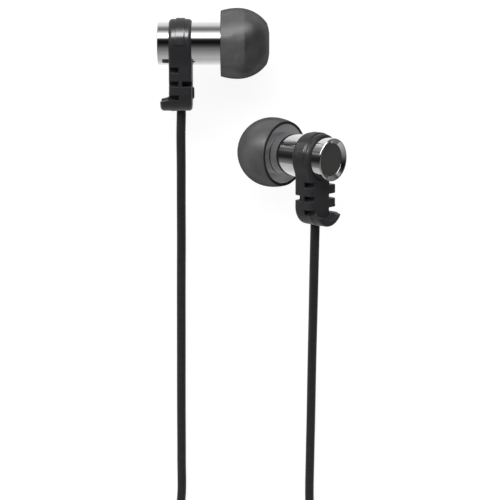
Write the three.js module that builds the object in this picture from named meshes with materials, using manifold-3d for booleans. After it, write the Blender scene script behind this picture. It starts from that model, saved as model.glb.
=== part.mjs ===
// Wired in-ear earphones with a 3.5 mm stereo plug, lying on a table.
//
// Units are millimetres and +Z is up. The origin is on the table, under the middle of the two
// earpieces. The cords run towards -Y, where each branch has its spare length in a small coil,
// and meet in a Y-split. The main cord is coiled beyond it and ends in the plug.
//
// Each earpiece is built in its own frame: +X runs along the barrel from its back face to the
// nozzle, -Y is where the neck points, and the barrel's axis is the X axis.

import * as THREE from 'three';
import { mergeVertices } from 'three/addons/utils/BufferGeometryUtils.js';
import Module from 'manifold-3d';

const wasm = await Module();
wasm.setup();

// ---------- Driving dimensions ----------

// Clearances between neighbouring pieces
const seatGap = 0.12;
const faceGap = 0.3;
const driverGap = 0.15;

// Barrel shell
const barrelRadius = 3.625;
const barrelWall = 0.675;
const barrelLength = 10.9;
const barrelChamfer = 0.12;
const rimFlat = 0.15;
const rimDepth = 0.45;
const rimLip = 0.2;

// Back plate
const plateThickness = 0.5;

// Nozzle housing
const shoulderLength = 2.7;
const shoulderRound = 1.35;
const seamGap = 0.2;
const spigotLength = 1.5;
const spigotWall = 0.4;
const nozzleRadius = 2.0;
const nozzleBore = 1.45;
const nozzleLength = 4.7;
const barbHeight = 0.28;
const barbLength = 0.9;
const barbSetback = 1.6;
const chamberTaper = 1.4;

// Pieces inside the nozzle
const meshThickness = 0.2;
const meshSetback = 0.3;
const meshHoleRadius = 0.16;
const meshHoleCircle = 0.72;
const meshHoleCount = 6;
const damperLength = 2.0;
const damperSetback = 2.2;

// Driver
const driverLength = 2.9;
const frameWall = 0.35;
const frameFlange = 0.5;
const frameLip = 0.4;
const yokeWall = 0.25;
const yokeFloor = 0.4;
const yokeDepth = 1.9;
const magnetRadius = 1.35;
const magnetLength = 1.2;
const coilWall = 0.12;
const coilLength = 1.2;
const diaphragmThickness = 0.12;
const diaphragmRise = 0.28;
const boardThickness = 0.4;

// Strain relief: collar, neck, foot
const collarWall = 0.405;
const neckWidth = 3.9;
const neckHalf = 3.3;
const neckStart = 1.93;
const neckReach = 7.3;
const collarFillet = 4.0;
const edgeRound = 0.6;
const bandRise = 0.18;
const bandWidth = 1.5;
const footLength = 1.55;
const footRise = 2.9;
const footHollow = 1.06;
const scoopRadius = 2.45;
const scoopLift = 0.25;

// Slots in the neck
const slotHeight = 0.88;
const slotPitch = 2.35;
const slotSetback = 0.1;
const slotReach = 1.67;
const backSlotDepth = 0.85;
const frontSlotDepth = 1.45;
const farSlotDepth = 1.9;
const backSlotCount = 3;

// Tactile nub on the left neck
const nubLength = 2.0;
const nubHalfWidth = 0.75;
const nubRise = 0.32;
const nubSetback = 4.25;

// Ear tip
const tipRadius = 6.0;
const tipLength = 8.3;
const domeStart = 2.9;
const domeDepth = 6.05;
const rimRadius = 5.56;
const skirtWall = 0.5;
const noseWall = 1.3;
const noseRound = 0.45;
const tipMouth = 1.7;
const tipMouthDepth = 0.5;
const stemWall = 0.65;
const stemClearance = 0.14;
const tipBackset = 0.2;

// Cords
const branchDiameter = 1.4;
const mainDiameter = 2.0;
const branchLength = 380;
const knotRadius = 1.0;
const knotDrop = 1.45;
const holeClearance = 0.15;

// Coils
const coilSpacing = 0.5;
const climbTurns = 0.5;
const branchTurns = 5;
const branchLayers = 2;
const mainTurns = 11.5;
const mainLayers = 4;
const mainCoilMean = 11.5;
const turnSteps = 20;
const tubeSides = 6;
const cordSides = 8;

// Coil ties
const tieWidth = 3.0;
const tieThickness = 0.5;

// Y-split
const splitLength = 13;
const splitWideHalf = 2.5;
const splitNarrowHalf = 1.7;
const splitHeight = 3.2;
const splitEdge = 0.5;
const splitCorner = 1.2;
const splitCordOffset = 1.1;

// Plug
const gripRadius = 3.2;
const gripLength = 17;
const gripRound = 0.8;
const gripGroove = 0.25;
const gripGrooveCount = 4;
const gripGrooveSetback = 5.1;
const gripGroovePitch = 2.125;
const reliefLength = 8;
const reliefWide = 1.9;
const reliefNarrow = 1.35;
const reliefRibs = 3;
const pinRadius = 1.75;
const sleeveLength = 6.2;
const sleeveFlange = 0.8;
const sleeveFlangeRadius = 2.6;
const bandLength = 2.3;
const insulatorLength = 0.6;
const tipPinLength = 3.6;
const tipShoulder = 0.43;
const tipWaistStart = 1.08;
const tipWaistRadius = 1.085;
const tipBulgeStart = 1.98;
const rodRadius = 0.5;
const rodTail = 3.0;
const contactGap = 0.1;

// Facets round a full turn
const shellFacets = 28;
const tipFacets = 24;
const housingFacets = 20;
const innerFacets = 12;
const plugFacets = 16;

// Where the earpieces lie: the box round both of them, and the turn of the right one
const spreadX = 31.96;
const spreadY = 36.07;
const rightTurn = 42 * Math.PI / 180;

// Where the cords lie once they are out of the earpieces
const coilStartLeft = { x: -15, y: -86 };
const coilStartRight = { x: 12.5, y: -112 };
const splitTop = { x: -4, y: -133 };
const mainCoilStart = { x: -13, y: -166 };
const plugStart = 26;

// ---------- Sizes that follow from them ----------

const boreRadius = barrelRadius - barrelWall;
const collarRadius = barrelRadius + seatGap + collarWall;
const neckDrop = collarRadius + neckReach;
const slotFirstDrop = collarRadius + slotSetback;
const nubDrop = collarRadius + nubSetback;
const lipRadius = boreRadius - rimLip;
const lipEnd = rimDepth + plateThickness + seatGap;
const neckMiddle = neckStart + neckWidth / 2;
const neckEnd = neckStart + neckWidth;
const cordRadius = branchDiameter / 2;
const holeRadius = cordRadius + holeClearance;
const shoulderStart = barrelLength + seamGap;
const nozzleStart = barrelLength + shoulderLength;
const nozzleEnd = nozzleStart + nozzleLength;
const spigotStart = shoulderStart - spigotLength;
const spigotRadius = boreRadius - seatGap;
const chamberRadius = spigotRadius - spigotWall;
const driverEnd = spigotStart - driverGap;
const driverStart = driverEnd - driverLength;
const frameRadius = boreRadius - driverGap;
const yokeRadius = frameRadius - frameWall - frameFlange + driverGap;
const yokeInner = yokeRadius - yokeWall;
const magnetStart = driverStart + yokeFloor + driverGap;
const coilRadius = (magnetRadius + yokeInner - coilWall) / 2;
const diaphragmStart = driverEnd - frameLip - driverGap - diaphragmRise;
const tipStart = barrelLength - tipBackset;
const tipEnd = tipStart + tipLength;
const domeMiddle = tipStart + domeStart;
const stemBore = nozzleRadius + barbHeight + stemClearance;
const stemRadius = stemBore + stemWall;
const stemStart = nozzleStart + faceGap;
const tipMouthStart = tipEnd - tipMouthDepth;
const mainRadius = mainDiameter / 2;

// ---------- Small tools ----------

function material(color, roughness, metalness) {
  return new THREE.MeshStandardMaterial({ color, roughness, metalness });
}

const finishes = {
  chrome: material(0xb9b9be, 0.12, 1.0),
  satin: material(0x77777c, 0.35, 0.9),
  plate: material(0x3e3e3c, 0.45, 0.4),
  moulding: material(0x2b2b2d, 0.6, 0.0),
  silicone: material(0x4c4c4e, 0.45, 0.0),
  cordJacket: material(0x242426, 0.55, 0.0),
  foam: material(0x1c1c1c, 0.95, 0.0),
  steel: material(0x8d8f92, 0.4, 1.0),
  magnet: material(0x5a5c60, 0.3, 1.0),
  copper: material(0xb06a3a, 0.35, 1.0),
  film: material(0xc9b98a, 0.3, 0.0),
  board: material(0x1f5a34, 0.5, 0.0),
  gold: material(0xd8b25a, 0.2, 1.0),
  insulator: material(0x111111, 0.5, 0.0),
  tie: material(0x1a1a1a, 0.8, 0.0),
};

function signedVolume(positions, indices) {
  const a = new THREE.Vector3();
  const b = new THREE.Vector3();
  const c = new THREE.Vector3();
  let total = 0;
  for (let i = 0; i < indices.length; i += 3) {
    a.fromArray(positions, 3 * indices[i]);
    b.fromArray(positions, 3 * indices[i + 1]);
    c.fromArray(positions, 3 * indices[i + 2]);
    total += a.dot(b.cross(c)) / 6;
  }
  return total;
}

// One closed surface: shared corners merged, empty triangles dropped, faces pointing out.
function closed(geometry) {
  const bare = geometry.clone();
  bare.deleteAttribute('normal');
  bare.deleteAttribute('uv');
  const merged = mergeVertices(bare, 1e-5);
  const positions = Array.from(merged.attributes.position.array);
  const kept = [];
  const index = merged.index.array;
  for (let i = 0; i < index.length; i += 3) {
    const [a, b, c] = [index[i], index[i + 1], index[i + 2]];
    if (a !== b && b !== c && c !== a) {
      kept.push(a, b, c);
    }
  }
  const outward = signedVolume(positions, kept) > 0;
  const result = new THREE.BufferGeometry();
  result.setAttribute('position', new THREE.Float32BufferAttribute(positions, 3));
  result.setIndex(outward ? kept : kept.slice().reverse());
  return result;
}

function toSolid(geometry) {
  const shape = closed(geometry);
  return new wasm.Manifold(new wasm.Mesh({
    numProp: 3,
    vertProperties: new Float32Array(shape.attributes.position.array),
    triVerts: new Uint32Array(shape.index.array),
  }));
}

function fromSolid(solid) {
  const mesh = solid.getMesh();
  const geometry = new THREE.BufferGeometry();
  geometry.setAttribute('position', new THREE.BufferAttribute(mesh.vertProperties, 3));
  geometry.setIndex(new THREE.BufferAttribute(mesh.triVerts, 1));
  return closed(geometry);
}

// A solid turned about the X axis from a closed outline of [x, radius] points.
function turned(outline, segments) {
  const points = outline.map(([x, radius]) => new THREE.Vector2(radius, x));
  points.push(points[0].clone());
  const lathe = new THREE.LatheGeometry(points, segments);
  lathe.rotateZ(-Math.PI / 2);
  return closed(lathe);
}

function disc(start, length, radius, segments) {
  return turned([[start, 0], [start, radius], [start + length, radius], [start + length, 0]], segments);
}

function ring(start, length, outer, inner, segments) {
  const end = start + length;
  return turned([[start, inner], [start, outer], [end, outer], [end, inner]], segments);
}

// Points of a quarter round from one [x, radius] point to another, bulging along the first axis named.
function quarterRound(from, to, steps, bulgeOutFirst) {
  const points = [];
  for (let i = 1; i < steps; i += 1) {
    const angle = (Math.PI / 2) * (i / steps);
    const lead = Math.sin(angle);
    const lag = 1 - Math.cos(angle);
    const [along, across] = bulgeOutFirst ? [lag, lead] : [lead, lag];
    points.push([from[0] + (to[0] - from[0]) * along, from[1] + (to[1] - from[1]) * across]);
  }
  return points;
}

function circlePoints(x, y, radius, sides) {
  const points = [];
  for (let i = 0; i < sides; i += 1) {
    const angle = (2 * Math.PI * i) / sides;
    points.push(new THREE.Vector2(x + radius * Math.cos(angle), y + radius * Math.sin(angle)));
  }
  return points;
}

function block(low, high) {
  const size = high.map((value, axis) => value - low[axis]);
  const box = new THREE.BoxGeometry(...size);
  box.translate(...low.map((value, axis) => value + size[axis] / 2));
  return box;
}

// An outline drawn in the (z, y) plane and carried along +X, with rounded edges.
function carriedAlongX(shape, start, length, round, curveSegments, bevelSegments = 1) {
  const extrude = new THREE.ExtrudeGeometry(shape, {
    depth: length - 2 * round,
    bevelEnabled: round > 0,
    bevelThickness: round,
    bevelSize: round,
    bevelOffset: -round,
    bevelSegments,
    curveSegments,
  });
  extrude.rotateY(Math.PI / 2);
  extrude.translate(start + round, 0, 0);
  return extrude;
}

function part(name, geometry, finish) {
  const mesh = new THREE.Mesh(geometry, finish);
  mesh.name = name;
  return mesh;
}

// ---------- Earpiece: metal pieces ----------

function barrelShell() {
  const rimInner = barrelRadius - barrelChamfer - rimFlat;
  const shell = turned([
    [0, rimInner],
    [0, barrelRadius - barrelChamfer],
    [barrelChamfer, barrelRadius],
    [barrelLength, barrelRadius],
    [barrelLength, boreRadius],
    [lipEnd, boreRadius],
    [lipEnd, lipRadius],
    [rimDepth, lipRadius],
  ], shellFacets);
  const hole = new THREE.CylinderGeometry(holeRadius, holeRadius, barrelRadius, innerFacets);
  hole.translate(neckMiddle, -barrelRadius, 0);
  return fromSolid(toSolid(shell).subtract(toSolid(hole)));
}

function backPlate() {
  return disc(rimDepth, plateThickness, lipRadius - seatGap, shellFacets);
}

function nozzleHousing() {
  const shoulderFront = nozzleRadius + seatGap;
  const roundStart = nozzleStart - shoulderRound;
  const barbStart = nozzleEnd - barbSetback - barbLength;
  const barbRadius = nozzleRadius + barbHeight;
  const boreStart = shoulderStart + chamberTaper;
  return turned([
    [spigotStart, chamberRadius],
    [spigotStart, spigotRadius],
    [shoulderStart, spigotRadius],
    [shoulderStart, barrelRadius],
    [roundStart, barrelRadius],
    ...quarterRound([roundStart, barrelRadius], [nozzleStart, shoulderFront], 5, false),
    [nozzleStart, shoulderFront],
    [nozzleStart, nozzleRadius],
    [barbStart, nozzleRadius],
    [barbStart, barbRadius],
    [barbStart + barbLength, nozzleRadius],
    [nozzleEnd, nozzleRadius],
    [nozzleEnd, nozzleBore],
    [boreStart, nozzleBore],
    [shoulderStart, chamberRadius],
  ], housingFacets);
}

// Perforated disc: one hole in the middle and a ring of holes round it.
function nozzleMesh() {
  const holeSides = 6;
  const shape = new THREE.Shape(circlePoints(0, 0, nozzleBore - seatGap, innerFacets));
  const addHole = (x, y) => {
    shape.holes.push(new THREE.Path(circlePoints(x, y, meshHoleRadius, holeSides)));
  };
  addHole(0, 0);
  for (let i = 0; i < meshHoleCount; i += 1) {
    const angle = (2 * Math.PI * i) / meshHoleCount;
    addHole(meshHoleCircle * Math.cos(angle), meshHoleCircle * Math.sin(angle));
  }
  return closed(carriedAlongX(shape, nozzleEnd - meshSetback - meshThickness, meshThickness, 0, 1));
}

function damper() {
  return disc(nozzleEnd - damperSetback - damperLength, damperLength, nozzleBore - driverGap, innerFacets);
}

// ---------- Earpiece: driver ----------

function driverFrame() {
  const inner = frameRadius - frameWall;
  const flangeInner = yokeRadius + driverGap;
  const lipInner = inner - frameLip / 2;
  return turned([
    [driverStart, flangeInner],
    [driverStart, frameRadius],
    [driverEnd, frameRadius],
    [driverEnd, lipInner],
    [driverEnd - frameLip, lipInner],
    [driverEnd - frameLip, inner],
    [driverStart + frameFlange, inner],
    [driverStart + frameFlange, flangeInner],
  ], innerFacets);
}

function driverYoke() {
  const floor = driverStart + yokeFloor;
  const end = driverStart + yokeDepth;
  return turned([
    [driverStart, 0],
    [driverStart, yokeRadius],
    [end, yokeRadius],
    [end, yokeInner],
    [floor, yokeInner],
    [floor, 0],
  ], innerFacets);
}

function driverMagnet() {
  return disc(magnetStart, magnetLength, magnetRadius, innerFacets);
}

function voiceCoil() {
  const start = diaphragmStart - driverGap - coilLength;
  return ring(start, coilLength, coilRadius + coilWall, coilRadius, innerFacets);
}

// A shallow dome with a flat surround, clamped behind the frame's lip.
function diaphragm() {
  const edge = frameRadius - frameWall - driverGap;
  const front = [];
  const steps = 3;
  for (let i = 0; i <= steps; i += 1) {
    const radius = coilRadius * (i / steps);
    front.push([diaphragmStart + diaphragmRise * (1 - (i / steps) ** 2), radius]);
  }
  const back = front.map(([x, radius]) => [x - diaphragmThickness, radius]).reverse();
  const rim = [[diaphragmStart, edge], [diaphragmStart - diaphragmThickness, edge]];
  return turned([...front, ...rim, ...back], innerFacets);
}

function terminalBoard() {
  const start = driverStart - driverGap - boardThickness;
  return disc(start, boardThickness, frameRadius - frameWall, innerFacets);
}

// ---------- Earpiece: cord end, strain relief, ear tip ----------

// The knotted cord end inside the barrel and its straight run down through the neck.
function cordAnchor() {
  const points = [new THREE.Vector2(0, -neckDrop), new THREE.Vector2(cordRadius, -neckDrop)];
  const start = -Math.acos(cordRadius / knotRadius);
  const steps = 6;
  for (let i = 0; i <= steps; i += 1) {
    const angle = start + (Math.PI / 2 - start) * (i / steps);
    const radius = i === steps ? 0 : knotRadius * Math.cos(angle);
    points.push(new THREE.Vector2(radius, -knotDrop + knotRadius * Math.sin(angle)));
  }
  points.push(points[0].clone());
  const lathe = new THREE.LatheGeometry(points, innerFacets);
  lathe.translate(neckMiddle, 0, 0);
  return closed(lathe);
}

// The outline seen along the barrel: a collar, concave flanks and a round-ended neck.
function keyholeShape() {
  const filletX = neckHalf + collarFillet;
  const reach = collarRadius + collarFillet;
  const filletY = -Math.sqrt(reach * reach - filletX * filletX);
  const meet = Math.atan2(-filletY, filletX);
  const shape = new THREE.Shape();
  shape.absarc(0, 0, collarRadius, -meet, Math.PI / 2, false);
  shape.absarc(0, 0, collarRadius, Math.PI / 2, Math.PI + meet, false);
  shape.absarc(-filletX, filletY, collarFillet, meet, 0, true);
  shape.absarc(0, -(neckDrop - neckHalf), neckHalf, Math.PI, 2 * Math.PI, false);
  shape.absarc(filletX, filletY, collarFillet, Math.PI, Math.PI - meet, true);
  return shape;
}

// The neck's round end carried backwards. Its top runs level and turns up the back face in a hollow curve.
function footSolid() {
  const centreY = -(neckDrop - neckHalf);
  const top = -neckDrop + footRise;
  const start = neckStart - footLength;
  const overlap = neckWidth / 3;
  const shape = new THREE.Shape();
  const shapeTop = Math.max(top, centreY) + footLength;
  shape.absarc(0, centreY, neckHalf, Math.PI, 2 * Math.PI, false);
  shape.lineTo(neckHalf, shapeTop);
  shape.lineTo(-neckHalf, shapeTop);
  const foot = toSolid(carriedAlongX(shape, start, footLength + overlap, edgeRound, 6));
  const above = new THREE.Shape();
  above.moveTo(start - footLength, top - footHollow);
  above.lineTo(start, top - footHollow);
  above.quadraticCurveTo(neckStart, top - footHollow, neckStart, top);
  above.lineTo(neckStart, top + footRise);
  above.lineTo(start - footLength, top + footRise);
  const options = { depth: 4 * neckHalf, bevelEnabled: false, curveSegments: 5 };
  const cut = new THREE.ExtrudeGeometry(above, options);
  cut.translate(0, 0, -2 * neckHalf);
  return foot.subtract(toSolid(cut));
}

function scoopCut() {
  const start = neckStart - 2 * footLength;
  const end = neckStart;
  const scoop = new THREE.CylinderGeometry(scoopRadius, scoopRadius, end - start, housingFacets);
  scoop.rotateZ(Math.PI / 2);
  scoop.translate((start + end) / 2, -(neckDrop - neckHalf) + scoopLift, 0);
  return toSolid(scoop);
}

// A plain band that stands slightly proud round the upper half of the collar.
function collarBand() {
  const radius = collarRadius + bandRise;
  const band = ring(neckMiddle - bandWidth / 2, bandWidth, radius, barrelRadius, shellFacets);
  const reach = 2 * collarRadius;
  return toSolid(band).intersect(toSolid(block([0, 0, -reach], [neckEnd, reach, reach])));
}

// The slots lie in rows from the back face, deeper on the far side, with one more on the near side's front.
function slotCuts(nearSign) {
  const beyond = neckHalf + 1;
  const cuts = [];
  const addCut = (x0, x1, drop, depth, sign) => {
    const [z0, z1] = [sign * (neckHalf - depth), sign * beyond].sort((a, b) => a - b);
    cuts.push(block([x0, -drop - slotHeight / 2, z0], [x1, -drop + slotHeight / 2, z1]));
  };
  const backStart = neckStart - 1;
  for (let row = 0; row < backSlotCount; row += 1) {
    const drop = slotFirstDrop + row * slotPitch;
    addCut(backStart, neckStart + slotReach, drop, backSlotDepth, nearSign);
    addCut(backStart, neckStart + slotReach, drop, farSlotDepth, -nearSign);
  }
  addCut(neckEnd - slotReach, neckEnd + 1, slotFirstDrop + slotPitch, frontSlotDepth, nearSign);
  return cuts;
}

function nub() {
  const shape = new THREE.Shape();
  shape.absarc(0, -nubDrop + nubLength / 2 - nubHalfWidth, nubHalfWidth, 0, Math.PI, false);
  shape.absarc(0, -nubDrop - nubLength / 2 + nubHalfWidth, nubHalfWidth, Math.PI, 2 * Math.PI, false);
  return toSolid(carriedAlongX(shape, neckMiddle, neckWidth / 2 + nubRise, nubRise / 2, 6));
}

function strainRelief(nearSign, hasNub) {
  let body = toSolid(carriedAlongX(keyholeShape(), neckStart, neckWidth, edgeRound, 8, 2));
  body = body.add(collarBand()).add(footSolid());
  if (hasNub) {
    body = body.add(nub());
  }
  const boreCut = disc(0, neckEnd + 1, barrelRadius + seatGap, shellFacets);
  const channel = new THREE.CylinderGeometry(holeRadius, holeRadius, neckDrop, innerFacets);
  channel.translate(neckMiddle, -neckDrop / 2 - barrelRadius / 2, 0);
  body = body.subtract(toSolid(boreCut)).subtract(toSolid(channel)).subtract(scoopCut());
  for (const cut of slotCuts(nearSign)) {
    body = body.subtract(toSolid(cut));
  }
  return fromSolid(body);
}

// The silicone's outer curve from the skirt's rim over the dome to the nose: [x, radius].
function tipOuterCurve(inset) {
  const points = [];
  const skirtSteps = 3;
  for (let i = 0; i <= skirtSteps; i += 1) {
    const t = i / skirtSteps;
    const radius = tipRadius - (tipRadius - rimRadius) * (1 - t) ** 2;
    points.push([tipStart + domeStart * t, radius - inset]);
  }
  const noseStart = tipEnd - noseRound - domeMiddle;
  const domeSteps = 7;
  for (let i = 1; i <= domeSteps; i += 1) {
    const x = noseStart * Math.sin((Math.PI / 2) * (i / domeSteps));
    const radius = tipRadius * Math.sqrt(1 - (x / domeDepth) ** 2);
    points.push([domeMiddle + x, radius - inset]);
  }
  return points;
}

// The dome's inner wall, which ends where the stem grows out of the nose.
function tipInnerCurve() {
  const limit = tipEnd - noseWall;
  return tipOuterCurve(skirtWall).filter(([x, radius]) => x < limit && radius > stemRadius + skirtWall);
}

// The nose is slightly crowned: it falls back with the cube of the radius, down to the dome's edge.
function noseCrown(edgeRadius) {
  const points = [];
  const steps = 3;
  for (let i = 1; i <= steps; i += 1) {
    const radius = edgeRadius + (tipMouth - edgeRadius) * (i / steps);
    points.push([tipEnd - noseRound * (radius / edgeRadius) ** 3, radius]);
  }
  return points;
}

function earTip() {
  const outer = tipOuterCurve(0);
  const [, edgeRadius] = outer[outer.length - 1];
  const inner = tipInnerCurve();
  const [innerX] = inner[inner.length - 1];
  return turned([
    ...outer,
    ...noseCrown(edgeRadius),
    [tipMouthStart, tipMouth],
    [tipMouthStart, stemBore],
    [stemStart, stemBore],
    [stemStart, stemRadius],
    [innerX, stemRadius],
    ...inner.reverse(),
  ], tipFacets);
}

function earpiece(side, nearSign, hasNub) {
  const group = new THREE.Group();
  group.add(
    part(`${side}_barrel_shell`, barrelShell(), finishes.chrome),
    part(`${side}_back_plate`, backPlate(), finishes.plate),
    part(`${side}_nozzle_housing`, nozzleHousing(), finishes.satin),
    part(`${side}_nozzle_mesh`, nozzleMesh(), finishes.steel),
    part(`${side}_acoustic_damper`, damper(), finishes.foam),
    part(`${side}_driver_frame`, driverFrame(), finishes.insulator),
    part(`${side}_driver_yoke`, driverYoke(), finishes.steel),
    part(`${side}_driver_magnet`, driverMagnet(), finishes.magnet),
    part(`${side}_voice_coil`, voiceCoil(), finishes.copper),
    part(`${side}_diaphragm`, diaphragm(), finishes.film),
    part(`${side}_terminal_board`, terminalBoard(), finishes.board),
    part(`${side}_cord_anchor`, cordAnchor(), finishes.cordJacket),
    part(`${side}_strain_relief`, strainRelief(nearSign, hasNub), finishes.moulding),
    part(`${side}_ear_tip`, earTip(), finishes.silicone),
  );
  return group;
}

// ---------- Where the earpieces lie ----------

// Depth of the turned ear tip below the barrel's back centre, over its whole outline.
function tipReachBelow(turn) {
  const depths = tipOuterCurve(0).map(([x, radius]) => x * Math.sin(turn) + radius * Math.cos(turn));
  return Math.max(...depths);
}

const leftPlace = new THREE.Vector3(-spreadX / 2, spreadY / 2 - tipRadius, tipRadius);
const rightPlace = new THREE.Vector3(
  spreadX / 2 - barrelRimReach(),
  -spreadY / 2 + neckDrop,
  tipReachBelow(rightTurn),
);

// How far the turned barrel's back rim reaches past the centre of its back face.
function barrelRimReach() {
  const face = (barrelRadius - barrelChamfer) * Math.sin(rightTurn);
  const side = barrelRadius * Math.sin(rightTurn) - barrelChamfer * Math.cos(rightTurn);
  return Math.max(face, side);
}

function placeRight(group) {
  group.position.copy(rightPlace);
  group.rotation.y = Math.PI - rightTurn;
  group.updateMatrixWorld(true);
  return group;
}

function placeLeft(group) {
  group.position.copy(leftPlace);
  group.updateMatrixWorld(true);
  return group;
}

const leftEar = placeLeft(earpiece('left', 1, true));
const rightEar = placeRight(earpiece('right', -1, false));
const cordExit = new THREE.Vector3(neckMiddle, -neckDrop - faceGap, 0);
const leftExit = leftEar.localToWorld(cordExit.clone());
const rightExit = rightEar.localToWorld(cordExit.clone());

// ---------- Cords ----------

// A straight-sided tube of eight sides along a smooth curve through the points.
function cordTube(points, diameter) {
  const curve = new THREE.CatmullRomCurve3(points, false, 'centripetal');
  const length = curve.getLength();
  const section = new THREE.Shape();
  for (let i = 0; i < cordSides; i += 1) {
    const angle = (2 * Math.PI * (i + 0.5)) / cordSides;
    const x = (diameter / 2) * Math.cos(angle);
    const y = (diameter / 2) * Math.sin(angle);
    if (i === 0) {
      section.moveTo(x, y);
    } else {
      section.lineTo(x, y);
    }
  }
  const steps = Math.round(length / (3 * diameter));
  const tube = new THREE.ExtrudeGeometry(section, { steps, extrudePath: curve, bevelEnabled: false });
  return { geometry: closed(tube), length };
}

// Height of each layer of a pile of turns over the lowest one, climbing in the half turns where
// the spiral reverses.
function layerClimb(turn, layerSpan, layers, rise) {
  let height = 0;
  for (let reversal = 1; reversal < layers; reversal += 1) {
    const start = reversal * layerSpan - climbTurns / 2;
    height += rise * THREE.MathUtils.smoothstep(turn, start, start + climbTurns);
  }
  return height;
}

// The centre line of a piled coil: it spirals in and out again, one layer after another.
// sense is +1 for anticlockwise and -1 for clockwise, seen from above.
function coilPath(spec) {
  const { start, startAngle, sense, turns, layers, mean, diameter, base } = spec;
  const spacing = diameter + coilSpacing;
  const layerSpan = turns / layers;
  const outer = mean + (spacing * layerSpan) / 2;
  const centre = new THREE.Vector2(
    start.x - outer * Math.cos(startAngle),
    start.y - outer * Math.sin(startAngle),
  );
  const frames = [];
  const count = Math.round(turns * turnSteps);
  for (let i = 0; i <= count; i += 1) {
    const turn = i / turnSteps;
    const layer = Math.min(Math.floor(turn / layerSpan), layers - 1);
    const along = turn / layerSpan - layer;
    const inward = layer % 2 === 0 ? along : 1 - along;
    const radius = outer - spacing * layerSpan * inward;
    const angle = startAngle + sense * 2 * Math.PI * turn;
    const radial = new THREE.Vector3(Math.cos(angle), Math.sin(angle), 0);
    const point = radial.clone().multiplyScalar(radius);
    point.x += centre.x;
    point.y += centre.y;
    point.z = base + layerClimb(turn, layerSpan, layers, spacing);
    frames.push({ point, radial });
  }
  const heading = (frame) => new THREE.Vector3(-frame.radial.y, frame.radial.x, 0).multiplyScalar(sense);
  const first = frames[0];
  const last = frames[count];
  const before = first.point.clone().addScaledVector(heading(first), -diameter);
  const after = last.point.clone().addScaledVector(heading(last), diameter);
  frames.unshift({ point: before, radial: first.radial });
  frames.push({ point: after, radial: last.radial });
  return { ...spec, frames, centre, outer, inner: outer - spacing * layerSpan, spacing };
}

function pathLength(frames) {
  let total = 0;
  for (let i = 1; i < frames.length; i += 1) {
    total += frames[i].point.distanceTo(frames[i - 1].point);
  }
  return total;
}

// Least clear distance between turns: from each point to the points half a turn or more away.
function leastGap(coil) {
  let least = Infinity;
  const { frames, diameter } = coil;
  for (let i = 0; i < frames.length; i += 1) {
    for (let j = i + turnSteps / 2; j < frames.length; j += 1) {
      least = Math.min(least, frames[i].point.distanceTo(frames[j].point));
    }
  }
  return least - diameter;
}

// One unbroken tube whose rings stand in the plane of the radius and the vertical.
function coilTube(coil) {
  const { frames, diameter } = coil;
  const positions = [];
  const indices = [];
  const up = new THREE.Vector3(0, 0, 1);
  frames.forEach(({ point, radial }, i) => {
    for (let side = 0; side < tubeSides; side += 1) {
      const angle = (2 * Math.PI * side) / tubeSides;
      const corner = point.clone()
        .addScaledVector(radial, (diameter / 2) * Math.cos(angle))
        .addScaledVector(up, (diameter / 2) * Math.sin(angle));
      positions.push(corner.x, corner.y, corner.z);
      if (i > 0) {
        const next = (side + 1) % tubeSides;
        const [a, b] = [(i - 1) * tubeSides + side, (i - 1) * tubeSides + next];
        indices.push(a, b, a + tubeSides, b, b + tubeSides, a + tubeSides);
      }
    }
  });
  const lastRing = (frames.length - 1) * tubeSides;
  for (let side = 1; side < tubeSides - 1; side += 1) {
    indices.push(0, side + 1, side);
    indices.push(lastRing, lastRing + side, lastRing + side + 1);
  }
  const geometry = new THREE.BufferGeometry();
  geometry.setAttribute('position', new THREE.Float32BufferAttribute(positions, 3));
  geometry.setIndex(indices);
  return closed(geometry);
}

// A flat band round the bundle of turns at one angle of the coil.
function coilTie(coil, angle) {
  const { centre, inner, outer, diameter, layers, spacing, base } = coil;
  const innerEdge = Math.sqrt((inner - diameter / 2) ** 2 - (tieWidth / 2) ** 2) - faceGap;
  const outerEdge = outer + diameter / 2 + faceGap;
  const low = base - diameter / 2 - faceGap;
  const high = base + (layers - 1) * spacing + diameter / 2 + faceGap;
  const band = new THREE.Shape();
  band.moveTo(innerEdge - tieThickness, low - tieThickness);
  band.lineTo(outerEdge + tieThickness, low - tieThickness);
  band.lineTo(outerEdge + tieThickness, high + tieThickness);
  band.lineTo(innerEdge - tieThickness, high + tieThickness);
  const window = new THREE.Path();
  window.moveTo(innerEdge, low);
  window.lineTo(outerEdge, low);
  window.lineTo(outerEdge, high);
  window.lineTo(innerEdge, high);
  band.holes.push(window);
  const tie = new THREE.ExtrudeGeometry(band, { depth: tieWidth, bevelEnabled: false });
  tie.translate(0, 0, -tieWidth / 2);
  tie.rotateX(Math.PI / 2);
  tie.rotateZ(angle);
  tie.translate(centre.x, centre.y, 0);
  return closed(tie);
}

const vector = (x, y, z) => new THREE.Vector3(x, y, z);
const branchBase = cordRadius + faceGap + tieThickness;
const mainBase = mainRadius + faceGap + tieThickness;
const branchTop = branchBase + (branchLayers - 1) * (branchDiameter + coilSpacing);
const mainTop = mainBase + (mainLayers - 1) * (mainDiameter + coilSpacing);
const splitAxis = splitHeight / 2;

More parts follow.
